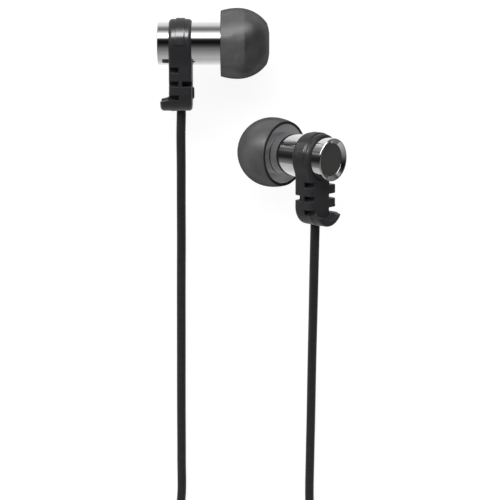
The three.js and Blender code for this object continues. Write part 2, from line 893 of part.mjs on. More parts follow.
// The routes of the stretches that are not coiled, from hand-chosen points.
const branchLead = branchDiameter + faceGap;
const leftRoute = [
  leftExit,
  vector(-12.2, -3.5, 5.9),
  vector(-12.25, -9.0, 4.9),
  vector(-12.4, -16.0, 2.7),
  vector(-12.5, -23.0, 1.2),
  vector(-12.6, -30.0, 0.72),
  vector(-12.7, -42.0, 0.7),
  vector(-12.8, -54.0, 0.7),
  vector(-12.85, -64.0, 0.7),
  vector(-13.0, -72.0, 0.75),
  vector(-14.2, -78.0, 1.1),
  vector(coilStartLeft.x, coilStartLeft.y + 2 * branchLead, branchBase),
  vector(coilStartLeft.x, coilStartLeft.y + branchLead, branchBase),
];
const rightRoute = [
  rightExit,
  vector(10.72, -21.5, 12.25),
  vector(10.7, -27.0, 10.9),
  vector(10.75, -34.0, 7.7),
  vector(10.8, -41.0, 4.3),
  vector(10.82, -48.0, 1.9),
  vector(10.8, -55.0, 0.8),
  vector(10.7, -63.0, 0.7),
  vector(10.65, -72.0, 0.7),
  vector(11.1, -80.0, 0.7),
  vector(12.05, -90.0, 0.7),
  vector(12.4, -100.0, 0.9),
  vector(coilStartRight.x, coilStartRight.y + 2 * branchLead, branchBase),
  vector(coilStartRight.x, coilStartRight.y + branchLead, branchBase),
];
const leftLeadRoute = [
  vector(coilStartLeft.x, coilStartLeft.y - branchLead, branchTop),
  vector(-15.1, -90.5, 3.3),
  vector(-15.4, -96.0, 1.6),
  vector(-15.6, -102.0, 0.75),
  vector(-15.5, -110.0, 0.7),
  vector(-14.6, -117.0, 0.7),
  vector(-11.6, -122.5, 0.75),
  vector(-7.6, -126.5, 1.1),
  vector(-5.5, -130.0, 1.5),
  vector(splitTop.x - splitCordOffset, splitTop.y + faceGap, splitAxis),
];
const rightLeadRoute = [
  vector(coilStartRight.x, coilStartRight.y - branchLead, branchTop),
  vector(12.3, -117.0, 3.0),
  vector(10.4, -121.5, 1.5),
  vector(6.6, -124.3, 0.8),
  vector(2.2, -125.6, 0.8),
  vector(-1.2, -127.3, 1.1),
  vector(-2.7, -130.0, 1.5),
  vector(splitTop.x + splitCordOffset, splitTop.y + faceGap, splitAxis),
];
const splitBottomY = splitTop.y - splitLength;
const mainLead = mainDiameter + faceGap;
const mainRoute = [
  vector(splitTop.x, splitBottomY - faceGap, splitAxis),
  vector(-4.3, -149.0, 1.6),
  vector(-7.9, -153.0, 1.7),
  vector(-11.7, -157.2, 1.8),
  vector(mainCoilStart.x, mainCoilStart.y + 2 * mainLead, mainBase),
  vector(mainCoilStart.x, mainCoilStart.y + mainLead, mainBase),
];

function branchCoil(start, sense, straightLength) {
  const straights = straightLength + 2 * branchDiameter + 4 * faceGap;
  const mean = (branchLength - straights) / (2 * Math.PI * branchTurns);
  return coilPath({
    start,
    startAngle: sense > 0 ? Math.PI : 0,
    sense,
    turns: branchTurns,
    layers: branchLayers,
    mean,
    diameter: branchDiameter,
    base: branchBase,
  });
}

function branchCord(side, route, leadRoute, start, sense, finish) {
  const first = cordTube(route, branchDiameter);
  const lead = cordTube(leadRoute, branchDiameter);
  const coil = branchCoil(start, sense, first.length + lead.length);
  console.log(`${side} branch ${(first.length + lead.length + pathLength(coil.frames)).toFixed(1)} mm,`
    + ` least gap between turns ${leastGap(coil).toFixed(3)} mm`);
  return [
    part(`${side}_cord`, first.geometry, finish),
    part(`${side}_cord_coil`, coilTube(coil), finish),
    part(`${side}_cord_lead`, lead.geometry, finish),
    part(`${side}_coil_tie`, coilTie(coil, sense > 0 ? 0 : Math.PI), finishes.tie),
  ];
}

// ---------- Y-split ----------

// A flat moulded piece, wide where the two branches enter and narrow where the main cord leaves.
function ySplit() {
  const corner = splitCorner;
  const shape = new THREE.Shape();
  shape.moveTo(splitTop.x - splitWideHalf + corner, splitTop.y);
  shape.lineTo(splitTop.x + splitWideHalf - corner, splitTop.y);
  shape.quadraticCurveTo(
    splitTop.x + splitWideHalf, splitTop.y,
    splitTop.x + splitWideHalf, splitTop.y - corner,
  );
  shape.bezierCurveTo(
    splitTop.x + splitWideHalf, splitTop.y - splitLength / 2,
    splitTop.x + splitNarrowHalf, splitTop.y - splitLength / 2,
    splitTop.x + splitNarrowHalf, splitBottomY,
  );
  shape.lineTo(splitTop.x - splitNarrowHalf, splitBottomY);
  shape.bezierCurveTo(
    splitTop.x - splitNarrowHalf, splitTop.y - splitLength / 2,
    splitTop.x - splitWideHalf, splitTop.y - splitLength / 2,
    splitTop.x - splitWideHalf, splitTop.y - corner,
  );
  shape.quadraticCurveTo(
    splitTop.x - splitWideHalf, splitTop.y,
    splitTop.x - splitWideHalf + corner, splitTop.y,
  );
  const body = new THREE.ExtrudeGeometry(shape, {
    depth: splitHeight - 2 * splitEdge,
    bevelEnabled: true,
    bevelThickness: splitEdge,
    bevelSize: splitEdge,
    bevelOffset: -splitEdge,
    bevelSegments: 2,
    curveSegments: 5,
  });
  body.translate(0, 0, splitEdge);
  return closed(body);
}

// ---------- Plug ----------

// The plug is turned about its own X axis, which starts at the grip's cord end.

function plugRelief() {
  const points = [[-faceGap - reliefLength, 0]];
  const ribPitch = reliefLength / reliefRibs;
  for (let i = 0; i <= reliefRibs; i += 1) {
    const t = i / reliefRibs;
    const radius = reliefNarrow + (reliefWide - reliefNarrow) * t;
    const x = -faceGap - reliefLength * (1 - t);
    if (i > 0) {
      points.push([x - ribPitch / 4, radius - gripGroove], [x - ribPitch / 4, radius]);
    }
    points.push([x, radius]);
    if (i < reliefRibs) {
      points.push([x + ribPitch / 2, radius], [x + ribPitch / 2, radius - gripGroove]);
    }
  }
  points.push([-faceGap, 0]);
  return turned(points, innerFacets);
}

function plugGrip() {
  const points = [[0, 0], [0, gripRadius - gripRound]];
  points.push(...quarterRound([0, gripRadius - gripRound], [gripRound, gripRadius], 3, true));
  points.push([gripRound, gripRadius]);
  for (let i = 0; i < gripGrooveCount; i += 1) {
    const x = gripGrooveSetback + i * gripGroovePitch;
    points.push([x, gripRadius], [x + gripGroovePitch / 4, gripRadius - gripGroove]);
    points.push([x + gripGroovePitch / 2, gripRadius]);
  }
  points.push([gripLength - gripRound / 2, gripRadius], [gripLength, gripRadius - gripRound / 2]);
  const bore = rodRadius + contactGap;
  points.push([gripLength, bore], [gripLength - rodTail - contactGap, bore]);
  points.push([gripLength - rodTail - contactGap, 0]);
  return turned(points, plugFacets);
}

const sleeveStart = gripLength + contactGap;
const sleeveEnd = sleeveStart + sleeveFlange + sleeveLength;
const rearInsulatorStart = sleeveEnd + contactGap;
const bandStart = rearInsulatorStart + insulatorLength + contactGap;
const frontInsulatorStart = bandStart + bandLength + contactGap;
const tipPinStart = frontInsulatorStart + insulatorLength + contactGap;

function plugSleeve() {
  const shoulder = sleeveStart + sleeveFlange;
  const bore = rodRadius + contactGap;
  return turned([
    [sleeveStart, bore],
    [sleeveStart, sleeveFlangeRadius],
    [shoulder, sleeveFlangeRadius],
    [shoulder, pinRadius],
    [sleeveEnd, pinRadius],
    [sleeveEnd, bore],
  ], plugFacets);
}

function plugBand(start, length) {
  return ring(start, length, pinRadius, rodRadius + contactGap, plugFacets);
}

// The rounded tip contact with its waist, and the rod that carries the contacts.
function plugTip() {
  const end = tipPinStart + tipPinLength;
  const bulge = tipPinStart + tipBulgeStart;
  return turned([
    [gripLength - rodTail, 0],
    [gripLength - rodTail, rodRadius],
    [tipPinStart, rodRadius],
    [tipPinStart, pinRadius],
    [tipPinStart + tipShoulder, pinRadius],
    [tipPinStart + tipWaistStart, tipWaistRadius],
    [bulge, pinRadius],
    ...quarterRound([bulge, pinRadius], [end, 0], 5, false),
    [end, 0],
  ], innerFacets);
}

function plug(place, direction) {
  const group = new THREE.Group();
  group.add(
    part('plug_strain_relief', plugRelief(), finishes.moulding),
    part('plug_grip', plugGrip(), finishes.moulding),
    part('plug_sleeve', plugSleeve(), finishes.gold),
    part('plug_rear_insulator', plugBand(rearInsulatorStart, insulatorLength), finishes.insulator),
    part('plug_ring', plugBand(bandStart, bandLength), finishes.gold),
    part('plug_front_insulator', plugBand(frontInsulatorStart, insulatorLength), finishes.insulator),
    part('plug_tip', plugTip(), finishes.gold),
  );
  group.position.copy(place);
  group.rotation.z = direction;
  return group;
}

// ---------- Main cord ----------

function mainCord() {
  const coil = coilPath({
    start: mainCoilStart,
    startAngle: Math.PI,
    sense: 1,
    turns: mainTurns,
    layers: mainLayers,
    mean: mainCoilMean,
    diameter: mainDiameter,
    base: mainBase,
  });
  const plugX = mainCoilStart.x + 2 * coil.outer;
  const reliefEndY = mainCoilStart.y + plugStart;
  const plugEnd = vector(plugX, reliefEndY + faceGap + reliefLength + faceGap, gripRadius);
  const leadRoute = [
    vector(plugX, mainCoilStart.y + mainLead, mainTop),
    vector(plugX, -160.25, 9.0),
    vector(plugX, -154.5, 6.8),
    vector(plugX, -148.5, 4.7),
    vector(plugX, -143.6, 3.4),
    vector(plugX, reliefEndY, gripRadius),
  ];
  const stub = cordTube(mainRoute, mainDiameter);
  const lead = cordTube(leadRoute, mainDiameter);
  console.log(`main cord ${(stub.length + lead.length + pathLength(coil.frames)).toFixed(1)} mm,`
    + ` least gap between turns ${leastGap(coil).toFixed(3)} mm`);
  return [
    part('main_cord', stub.geometry, finishes.cordJacket),
    part('main_cord_coil', coilTube(coil), finishes.cordJacket),
    part('main_cord_lead', lead.geometry, finishes.cordJacket),
    part('main_coil_tie', coilTie(coil, 1.5 * Math.PI), finishes.tie),
    plug(plugEnd, Math.PI / 2),
  ];
}

// ---------- The whole object ----------

const earphones = new THREE.Group();
earphones.add(leftEar, rightEar);
earphones.add(...branchCord('left', leftRoute, leftLeadRoute, coilStartLeft, 1, finishes.cordJacket));
earphones.add(...branchCord('right', rightRoute, rightLeadRoute, coilStartRight, -1, finishes.cordJacket));
earphones.add(part('y_split', ySplit(), finishes.moulding));
earphones.add(...mainCord());

export default earphones;
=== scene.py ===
"""Wired in-ear earphones on a pale table: fine surfaces, finishes, studio and camera.

Shapes are worked out in millimetres as surfaces on grids, and go into Blender in metres. An
earpiece is shaped in its own frame: X runs along the barrel from its back face to the nozzle,
-Y is where the neck points, and a Placement puts it where it lies. The plug is turned about its
own X axis in the same way.
"""

import sys
import logging
import math
from collections.abc import Callable, Sequence
from dataclasses import dataclass, replace
from enum import Enum
from typing import Any

import bmesh
import bpy
import numpy as np
from mathutils import Matrix


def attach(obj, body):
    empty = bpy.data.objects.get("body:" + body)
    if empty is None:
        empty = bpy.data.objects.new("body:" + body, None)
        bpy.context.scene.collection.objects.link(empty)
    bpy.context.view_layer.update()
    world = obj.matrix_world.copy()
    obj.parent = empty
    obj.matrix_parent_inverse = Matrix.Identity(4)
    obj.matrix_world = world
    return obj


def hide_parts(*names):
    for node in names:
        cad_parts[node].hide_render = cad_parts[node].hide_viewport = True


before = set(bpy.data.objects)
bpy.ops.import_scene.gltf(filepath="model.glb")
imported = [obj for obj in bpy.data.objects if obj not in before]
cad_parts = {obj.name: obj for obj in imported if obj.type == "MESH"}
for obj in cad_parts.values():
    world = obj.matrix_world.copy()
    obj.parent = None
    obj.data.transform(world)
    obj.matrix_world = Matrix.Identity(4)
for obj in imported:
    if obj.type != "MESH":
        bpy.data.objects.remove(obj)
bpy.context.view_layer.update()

log = logging.getLogger("earphones")

Array = np.ndarray
Triple = tuple[float, float, float]
Stops = tuple[tuple[float, float], ...]
Object = bpy.types.Object
Socket = bpy.types.NodeSocket
MM = 0.001
QUARTER = math.pi / 2


# ---------------------------------------------------------------- Surfaces on grids


@dataclass(frozen=True)
class Placement:
    """Where a piece's own frame lies: a turn, then a shift.

    Attributes:
        origin: where the frame's origin lies, in millimetres.
        about_y: turn about the Y axis, in degrees.
        about_z: turn about the Z axis, in degrees.
    """

    origin: Triple = (0.0, 0.0, 0.0)
    about_y: float = 0.0
    about_z: float = 0.0

    def place(self, points: Array) -> Array:
        """Points of the piece's own frame, where they lie on the table.

        Args:
            points: an array whose last axis is x, y, z.

        Returns:
            An array of the same shape.
        """
        turn = Matrix.Rotation(math.radians(self.about_z), 3, "Z")
        turn = turn @ Matrix.Rotation(math.radians(self.about_y), 3, "Y")
        return points @ np.array(turn).T + np.array(self.origin)


@dataclass(frozen=True)
class Patch:
    """A surface on a grid of points whose last column meets the first.

    Attributes:
        points: rows x columns x 3, in millimetres.
        along: each row's distance along the surface, one more than the rows if they close.
        around: the surface's width over all its columns.
        loop: the last row meets the first.
    """

    points: Array
    along: Array
    around: float
    loop: bool = False

    def quads(self) -> tuple[Array, Array]:
        """The grid's faces.

        Returns:
            Four point numbers for each face, and the place of each corner on the surface.
        """
        rows, columns = self.points.shape[:2]
        steps = rows if self.loop else rows - 1
        row, column = np.meshgrid(np.arange(steps), np.arange(columns), indexing="ij")
        corner_rows = np.stack((row, row, row + 1, row + 1), -1).reshape(-1, 4)
        corner_columns = np.stack((column, column + 1, column + 1, column), -1).reshape(-1, 4)
        numbers = (corner_rows % rows) * columns + corner_columns % columns
        across = corner_columns * (self.around / columns)
        return numbers, np.stack((across, self.along[corner_rows]), -1)


def lengths_along(points: Array, loop: bool = False) -> Array:
    """Distance of each point from the first along a polyline.

    Args:
        points: the polyline.
        loop: adds the closing step as one more distance.

    Returns:
        The running sums of the steps, from 0.
    """
    line = np.vstack((points, points[:1])) if loop else points
    return np.concatenate(([0.0], np.cumsum(np.linalg.norm(np.diff(line, axis=0), axis=1))))


def headings(line: Array, loop: bool = False) -> Array:
    """Unit vectors along a polyline at its points, from each point's two neighbours."""
    step = np.roll(line, -1, 0) - np.roll(line, 1, 0) if loop else np.gradient(line, axis=0)
    return step / np.linalg.norm(step, axis=1, keepdims=True)


def full_turn(count: int) -> Array:
    """Angles in even steps round a full turn, from 0."""
    return np.linspace(0.0, 2 * math.pi, count, endpoint=False)


def mesh_object(name: str, vertices: Array, faces: Array, corners: Array | None = None) -> Object:
    """A smooth-shaded closed mesh object at the origin.

    Args:
        name: the piece's name.
        vertices: points in millimetres.
        faces: four point numbers for each face.
        corners: the place of each face corner on the surface, for the piece's UV map.

    Returns:
        The object, with doubles merged and its faces pointing out.
    """
    mesh = bpy.data.meshes.new(name)
    mesh.from_pydata((vertices * MM).tolist(), [], faces.tolist())
    if corners is not None:
        mesh.uv_layers.new(name="surface").data.foreach_set("uv", corners.ravel())
    shape = bmesh.new()
    shape.from_mesh(mesh)
    bmesh.ops.remove_doubles(shape, verts=shape.verts, dist=1e-8)
    bmesh.ops.recalc_face_normals(shape, faces=shape.faces)
    shape.to_mesh(mesh)
    shape.free()
    mesh.shade_smooth()
    piece = bpy.data.objects.new(name, mesh)
    bpy.context.scene.collection.objects.link(piece)
    return piece


def patch_object(name: str, *patches: Patch) -> Object:
    """One object made of one or more grid surfaces.

    Args:
        name: the piece's name.
        *patches: its surfaces, each closed in itself.

    Returns:
        The object.
    """
    parts = [patch.quads() for patch in patches]
    counts = [patch.points.shape[0] * patch.points.shape[1] for patch in patches]
    starts = np.concatenate(([0], np.cumsum(counts)[:-1]))
    faces = np.concatenate([numbers + start for (numbers, _), start in zip(parts, starts)])
    corners = np.concatenate([places for _, places in parts])
    vertices = np.concatenate([patch.points.reshape(-1, 3) for patch in patches])
    return mesh_object(name, vertices, faces, corners)


def mark(piece: Object, name: str, values: Array) -> None:
    """Gives each point of a piece's mesh a value, for its finish to read by name."""
    piece.data.attributes.new(name, "FLOAT", "POINT").data.foreach_set("value", values)


def rounded(outline: Sequence[Sequence[float]] | Array, radius: float, loop: bool = True,
            steps: int = 6) -> Array:
    """An outline with its corners eased.

    Each corner gives way to a parabola that starts and ends one radius from it, or a share of
    its shorter side where that is less. A point beyond each end of the parabola keeps the
    straight side flat.

    Args:
        outline: the corners in order.
        radius: how far from a corner its curve starts.
        loop: the outline closes on itself, so that its ends are corners too.
        steps: points on each curve.

    Returns:
        The eased outline's points.
    """
    share, beyond = 0.3, 1.5
    corners = np.asarray(outline, float)
    to_last = np.roll(corners, 1, 0) - corners
    to_next = np.roll(corners, -1, 0) - corners
    last_side = np.linalg.norm(to_last, axis=1, keepdims=True)
    next_side = np.linalg.norm(to_next, axis=1, keepdims=True)
    reach = np.minimum(radius, share * np.minimum(last_side, next_side))
    start = (to_last / last_side * reach)[:, None]
    end = (to_next / next_side * reach)[:, None]
    t = np.linspace(0.0, 1.0, steps)[None, :, None]
    curve = (1 - t) ** 2 * start + t**2 * end
    curve = np.concatenate((beyond * start, curve, beyond * end), 1) + corners[:, None]
    if loop:
        return curve.reshape(-1, curve.shape[-1])
    inside = curve[1:-1].reshape(-1, curve.shape[-1])
    return np.vstack((corners[:1], inside, corners[-1:]))


def quarter(start: Sequence[float], end: Sequence[float], steps: int = 12) -> list[list[float]]:
    """Inner points of a quarter ellipse that leaves its start along X and meets its end across it.

    Args:
        start: where the quarter starts.
        end: where it ends.
        steps: even steps of angle between them.

    Returns:
        The points between the two.
    """
    angle = np.linspace(0.0, QUARTER, steps + 1)[1:-1]
    along = start[0] + (end[0] - start[0]) * np.sin(angle)
    across = start[1] + (end[1] - start[1]) * (1 - np.cos(angle))
    return np.stack((along, across), -1).tolist()


def turned(profile: Array, loop: bool = True, columns: int = 144) -> Patch:
    """A surface turned about the X axis.

    The point at profile distance s and angle a is (x(s), r(s) cos a, r(s) sin a).

    Args:
        profile: [x, radius] points.
        loop: the profile closes on itself; otherwise it starts and ends on the axis.
        columns: points round a turn.

    Returns:
        The surface.
    """
    angle = full_turn(columns)
    x, radius = profile[:, :1], profile[:, 1:]
    points = np.stack((x + 0 * angle, radius * np.cos(angle), radius * np.sin(angle)), -1)
    return Patch(points, lengths_along(profile, loop), 2 * math.pi * float(profile[:, 1].max()), loop)


def capped(points: Array, along: Array, around: float) -> Patch:
    """An open tube, closed by a row at each end that shrinks to the middle of the end section.

    Args:
        points: sections x points of a section x 3.
        along: each section's distance along the tube.
        around: length round a section.

    Returns:
        The surface.
    """
    ends = points[[0, -1]].mean(1, keepdims=True) + 0 * points[[0, -1]]
    points = np.concatenate((ends[:1], points, ends[1:]))
    return Patch(points, np.concatenate((along[:1], along, along[-1:])), around)


def tube(path: Array, radius: float, sides: int) -> Patch:
    """A round tube along a path, closed at both ends.

    Each section is a circle square to the path: its first direction lies level with the table,
    and its second goes up from the path.

    Args:
        path: points of the path, which is nowhere upright.
        radius: the tube's radius.
        sides: points round the tube.

    Returns:
        The surface.
    """
    angle = full_turn(sides)
    section = radius * np.stack((np.cos(angle), np.sin(angle)), -1)
    heading = headings(path)
    side = np.cross(heading, (0.0, 0.0, 1.0))
    side /= np.linalg.norm(side, axis=1, keepdims=True)
    up = np.cross(side, heading)
    points = path[:, None] + side[:, None] * section[:, :1] + up[:, None] * section[:, 1:]
    return capped(points, lengths_along(path), float(lengths_along(section, True)[-1]))


def even_steps(points: Array, step: float) -> Array:
    """The same polyline with points about one step apart.

    Args:
        points: the polyline.
        step: the distance wanted.

    Returns:
        The new points.
    """
    along = lengths_along(points)
    count = max(2, round(along[-1] / step) + 1)
    places = np.linspace(0.0, along[-1], count)
    return np.stack([np.interp(places, along, points[:, axis]) for axis in range(3)], -1)


def smooth_step(t: Array) -> Array:
    """The cubic that runs from 0 to 1 with level ends."""
    return t * t * (3 - 2 * t)


def smooth_route(points: Sequence[Sequence[float]], per_span: int = 24) -> Array:
    """A smooth curve through points: a centripetal Catmull-Rom spline.

    The knots lie apart by the square root of the distance between the points, and each span is
    the cubic that meets its two points with the slopes of the parabolas through them.

    Args:
        points: the points to pass through.
        per_span: points made on each span.

    Returns:
        The curve's points.
    """
    route = np.asarray(points, float)
    route = np.vstack((2 * route[0] - route[1], route, 2 * route[-1] - route[-2]))
    knot = np.sqrt(np.linalg.norm(np.diff(route, axis=0), axis=1))[:, None]
    before, start, end, after = route[:-3], route[1:-2], route[2:-1], route[3:]
    k0, k1, k2 = knot[:-2], knot[1:-1], knot[2:]
    leave = ((start - before) / k0 - (end - before) / (k0 + k1) + (end - start) / k1) * k1
    arrive = ((end - start) / k1 - (after - start) / (k1 + k2) + (after - end) / k2) * k1
    t = np.linspace(0.0, 1.0, per_span, endpoint=False)[None, :, None]
    square = 3 * (end - start) - 2 * leave - arrive
    cube = 2 * (start - end) + leave + arrive
    curve = start[:, None] + leave[:, None] * t + square[:, None] * t**2 + cube[:, None] * t**3
    return np.vstack((curve.reshape(-1, 3), route[-2:-1]))


# ---------------------------------------------------------------- Moulded bodies


def soft_max(a: Array, b: Array | float, blend: float) -> Array:
    """The larger of two values, with the crease between them rounded over `blend`."""
    return np.maximum(a, b) + np.maximum(blend - np.abs(a - b), 0.0) ** 2 / (4 * blend)


def soft_min(a: Array, b: Array | float, blend: float) -> Array:
    """The smaller of two values, with the crease between them rounded over `blend`."""
    return -soft_max(-a, -b, blend)


def slab(outline: Array, across: Array, low: float, high: float, edge: float) -> Array:
    """Distance to an outline carried from low to high, with edges of radius `edge`.

    Args:
        outline: distance to the flat outline, negative inside it.
        across: the coordinate that the outline is carried along.
        low: where it starts.
        high: where it ends.
        edge: radius of its edges.

    Returns:
        The distance, negative inside.
    """
    a = outline + edge
    b = np.abs(across - (low + high) / 2) - ((high - low) / 2 - edge)
    outer = np.hypot(np.maximum(a, 0.0), np.maximum(b, 0.0))
    return outer + np.minimum(np.maximum(a, b), 0.0) - edge


def moulded_surface(
    body: Callable[[Array], Array], low: Sequence[float], high: Sequence[float], step: float
) -> tuple[Array, Array]:
    """The surface on which a body's distance is zero, as a net of quads.

    The distance is worked out on a grid of cells. Each cell that the surface passes through
    gets one vertex, at the mean of the points where its edges cross the surface, and each
    grid edge that crosses it gets the quad of its four cells. The vertices then slide along
    the distance's slope onto the surface.

    Args:
        body: distance to the body for an array of points, negative inside.
        low: lowest corner of the grid.
        high: its highest corner.
        step: size of a cell.

    Returns:
        The vertices and the quads.
    """
    slides, probe, least_slope = 2, 0.01, 0.25
    axes = [np.arange(a, b + step, step) for a, b in zip(low, high)]
    grid = np.stack(np.meshgrid(*axes, indexing="ij"), -1)
    value = body(grid)
    cells = tuple(n - 1 for n in value.shape)
    total = np.zeros((*cells, 3))
    count = np.zeros(cells)
    crossings = []
    for axis in range(3):
        along = np.moveaxis(value, axis, 0)
        a, b = along[:-1], along[1:]
        crosses = np.moveaxis((a < 0) != (b < 0), 0, axis)
        share = np.moveaxis(a / np.where(a == b, 1.0, a - b), 0, axis)
        base = tuple(slice(0, -1) if k == axis else slice(None) for k in range(3))
        place = grid[base] + 0.0
        place[..., axis] += share * step
        others = [k for k in range(3) if k != axis]
        for shift in ((0, 0), (0, 1), (1, 0), (1, 1)):
            part = [slice(None)] * 3
            for other, offset in zip(others, shift):
                part[other] = slice(offset, offset + cells[other])
            hit = crosses[tuple(part)]
            total += np.where(hit[..., None], place[tuple(part)], 0.0)
            count += hit
        crossings.append(np.argwhere(crosses))
    active = count > 0
    number = np.full(cells, -1)
    number[active] = np.arange(active.sum())
    vertices = total[active] / count[active][:, None]
    quads = []
    for axis, found in enumerate(crossings):
        first, second = [k for k in range(3) if k != axis]
        ring = []
        for shift in ((-1, -1), (0, -1), (0, 0), (-1, 0)):
            cell = found.copy()
            cell[:, first] += shift[0]
            cell[:, second] += shift[1]
            ring.append(number[tuple(cell.T)])
        quads.append(np.stack(ring, -1))
    for _ in range(slides):
        probes = [body(vertices + e) - body(vertices - e) for e in probe * np.eye(3)]
        slope = np.stack(probes, -1) / (2 * probe)
        steepness = np.maximum((slope**2).sum(-1, keepdims=True), least_slope)
        move = -body(vertices)[:, None] * slope / steepness
        vertices = vertices + np.clip(move, -step / 2, step / 2)
    return vertices, np.concatenate(quads)


# ---------------------------------------------------------------- Shader building


def linear(level: float) -> float:
    """A screen level from 0 to 255 as linear light."""
    share = level / 255
    return share / 12.92 if share <= 0.04045 else ((share + 0.055) / 1.055) ** 2.4


def shade(red: float, green: float, blue: float) -> Triple:
    """A colour given by its screen levels, as linear light."""
    return linear(red), linear(green), linear(blue)


def toned(colour: Triple, gain: float, lift: float = 0.0) -> Triple:
    """A colour times a gain, with some white light added."""
    return tuple(lift + gain * value for value in colour)


class Nodes:
    """A node tree with short ways to add a node and join its sockets."""

    def __init__(self, tree: bpy.types.NodeTree) -> None:
        """Starts an empty tree."""
        self.tree = tree
        tree.nodes.clear()

    def add(self, kind: str, inputs: dict[str | int, Any] | None = None, **settings: Any) -> bpy.types.Node:
        """Adds a node.

        Args:
            kind: the node's type without its ShaderNode prefix.
            inputs: values or other nodes' sockets, by input name or number.
            **settings: the node's own properties.

        Returns:
            The node.
        """
        name = kind if kind.startswith("NodeGroup") else f"ShaderNode{kind}"
        node = self.tree.nodes.new(name)
        for key, value in settings.items():
            setattr(node, key, value)
        self.feed(node, inputs or {})
        return node

    def feed(self, node: bpy.types.Node, inputs: dict[str | int, Any]) -> None:
        """Joins a node's inputs to other nodes' sockets, or sets them to values.

        Args:
            node: the node.
            inputs: values or other nodes' sockets, by input name or number.
        """
        for key, value in inputs.items():
            socket = node.inputs[key]
            if isinstance(value, Socket):
                self.tree.links.new(value, socket)
            elif isinstance(value, tuple) and socket.type == "RGBA":
                socket.default_value = (*value, 1.0)
            else:
                socket.default_value = value

    def math(self, operation: str, a: Any, b: Any = 0.0) -> Socket:
        """The result of a Math node."""
        return self.add("Math", {0: a, 1: b}, operation=operation).outputs[0]

    def scaled(self, vector: Socket, factor: Any) -> Socket:
        """A vector or colour times a factor."""
        return self.add("VectorMath", {0: vector, "Scale": factor}, operation="SCALE").outputs[0]

    def split(self, vector: Socket) -> bpy.types.bpy_prop_collection:
        """The sockets of a vector's three parts."""
        return self.add("SeparateXYZ", {0: vector}).outputs

    def span(self, value: Any, low: float, high: float, start: float = 0.0, end: float = 1.0) -> Socket:
        """A value taken from the range start to end onto the range low to high."""
        ranged = {"Value": value, "From Min": start, "From Max": end, "To Min": low, "To Max": high}
        return self.add("MapRange", ranged).outputs[0]

    def blend(self, factor: Any, a: Any, b: Any) -> Socket:
        """A colour mixed from two by a factor."""
        return self.add("Mix", {0: factor, 6: a, 7: b}, data_type="RGBA").outputs[2]

    def bump(self, height: Any, depth: float) -> Socket:
        """The normal of a surface raised by a height, whose full depth is in millimetres."""
        return self.add("Bump", {"Height": height, "Distance": depth * MM}).outputs[0]

    def marked(self, name: str) -> Socket:
        """The value that the mesh gives each of its points under a name."""
        return self.add("Attribute", attribute_name=name).outputs["Fac"]


# Noise gathers round its middle, so the finishes stretch this part of it over their range.
MIDDLE = (0.3, 0.7)


class Effect(Enum):
    """Surface effects that more than one finish uses, each a shared node group.

    A member's value is the name of its group, its inputs after Vector, and its outputs.
    """

    GRAIN = ("moulded_grain", ("Size", "Roughness"), ("Height", "Mottle"))
    STREAKS = ("fine_streaks", ("Size", "Stretch"), ("Mask",))
    DUST = ("sparse_dust", ("Size", "Amount"), ("Mask",))

    def group(self) -> bpy.types.NodeTree:
        """The effect's node group, built once.

        Returns:
            The group's tree.
        """
        name, inputs, outputs = self.value
        found = bpy.data.node_groups.get(name)
        if found:
            return found
        tree = bpy.data.node_groups.new(name, "ShaderNodeTree")
        tree.interface.new_socket("Vector", in_out="INPUT", socket_type="NodeSocketVector")
        for way, names in (("INPUT", inputs), ("OUTPUT", outputs)):
            for key in names:
                tree.interface.new_socket(key, in_out=way, socket_type="NodeSocketFloat")
        nodes = Nodes(tree)
        given = nodes.add("NodeGroupInput").outputs
        scale = nodes.math("DIVIDE", 1.0, given["Size"])
        make = {Effect.GRAIN: self._grain, Effect.STREAKS: self._streaks, Effect.DUST: self._dust}[self]
        nodes.add("NodeGroupOutput", dict(enumerate(make(nodes, given, scale))))
        return tree

    @staticmethod
    def _grain(nodes: Nodes, given: Any, scale: Socket) -> list[Socket]:
        """A fine leathery grain, and broad soft patches ten times its size.

        Args:
            nodes: the group's nodes.
            given: the group's own inputs.
            scale: one over its Size.

        Returns:
            Height and Mottle.
        """
        fine = {"Vector": given["Vector"], "Scale": scale, "Detail": 3.0, "Roughness": given["Roughness"]}
        broad = {"Vector": given["Vector"], "Scale": nodes.math("MULTIPLY", scale, 0.1), "Detail": 2.0}
        height, mottle = [nodes.add("TexNoise", noise).outputs[0] for noise in (fine, broad)]
        return [height, nodes.span(mottle, 0.0, 1.0, *MIDDLE)]

    @staticmethod
    def _streaks(nodes: Nodes, given: Any, scale: Socket) -> list[Socket]:
        """Noise drawn out along X by Stretch, as a cutting tool or a die leaves it.

        Args:
            nodes: the group's nodes.
            given: the group's own inputs.
            scale: one over its Size.

        Returns:
            Mask.
        """
        x, y, z = nodes.split(given["Vector"])
        drawn = nodes.add("CombineXYZ", {0: nodes.math("DIVIDE", x, given["Stretch"]), 1: y, 2: z})
        noise = nodes.add("TexNoise", {"Vector": drawn.outputs[0], "Scale": scale, "Detail": 4.0})
        return [nodes.span(noise.outputs[0], 0.0, 1.0, *MIDDLE)]

    @staticmethod
    def _dust(nodes: Nodes, given: Any, scale: Socket) -> list[Socket]:
        """Small round specks round scattered points, more of them with a higher Amount.

        Args:
            nodes: the group's nodes.
            given: the group's own inputs.
            scale: one over its Size.

        Returns:
            Mask.
        """
        core, rim = 0.02, 0.12
        cells = nodes.add("TexVoronoi", {"Vector": given["Vector"], "Scale": scale}).outputs
        near = nodes.span(cells["Distance"], 1.0, 0.0, core, rim)
        lot = nodes.add("SeparateColor", {0: cells["Color"]}).outputs[0]
        return [nodes.math("MULTIPLY", near, nodes.math("LESS_THAN", lot, given["Amount"]))]


class Pattern(Enum):
    """What a finish's pattern follows."""

    OBJECT = "object"
    SURFACE = "surface"


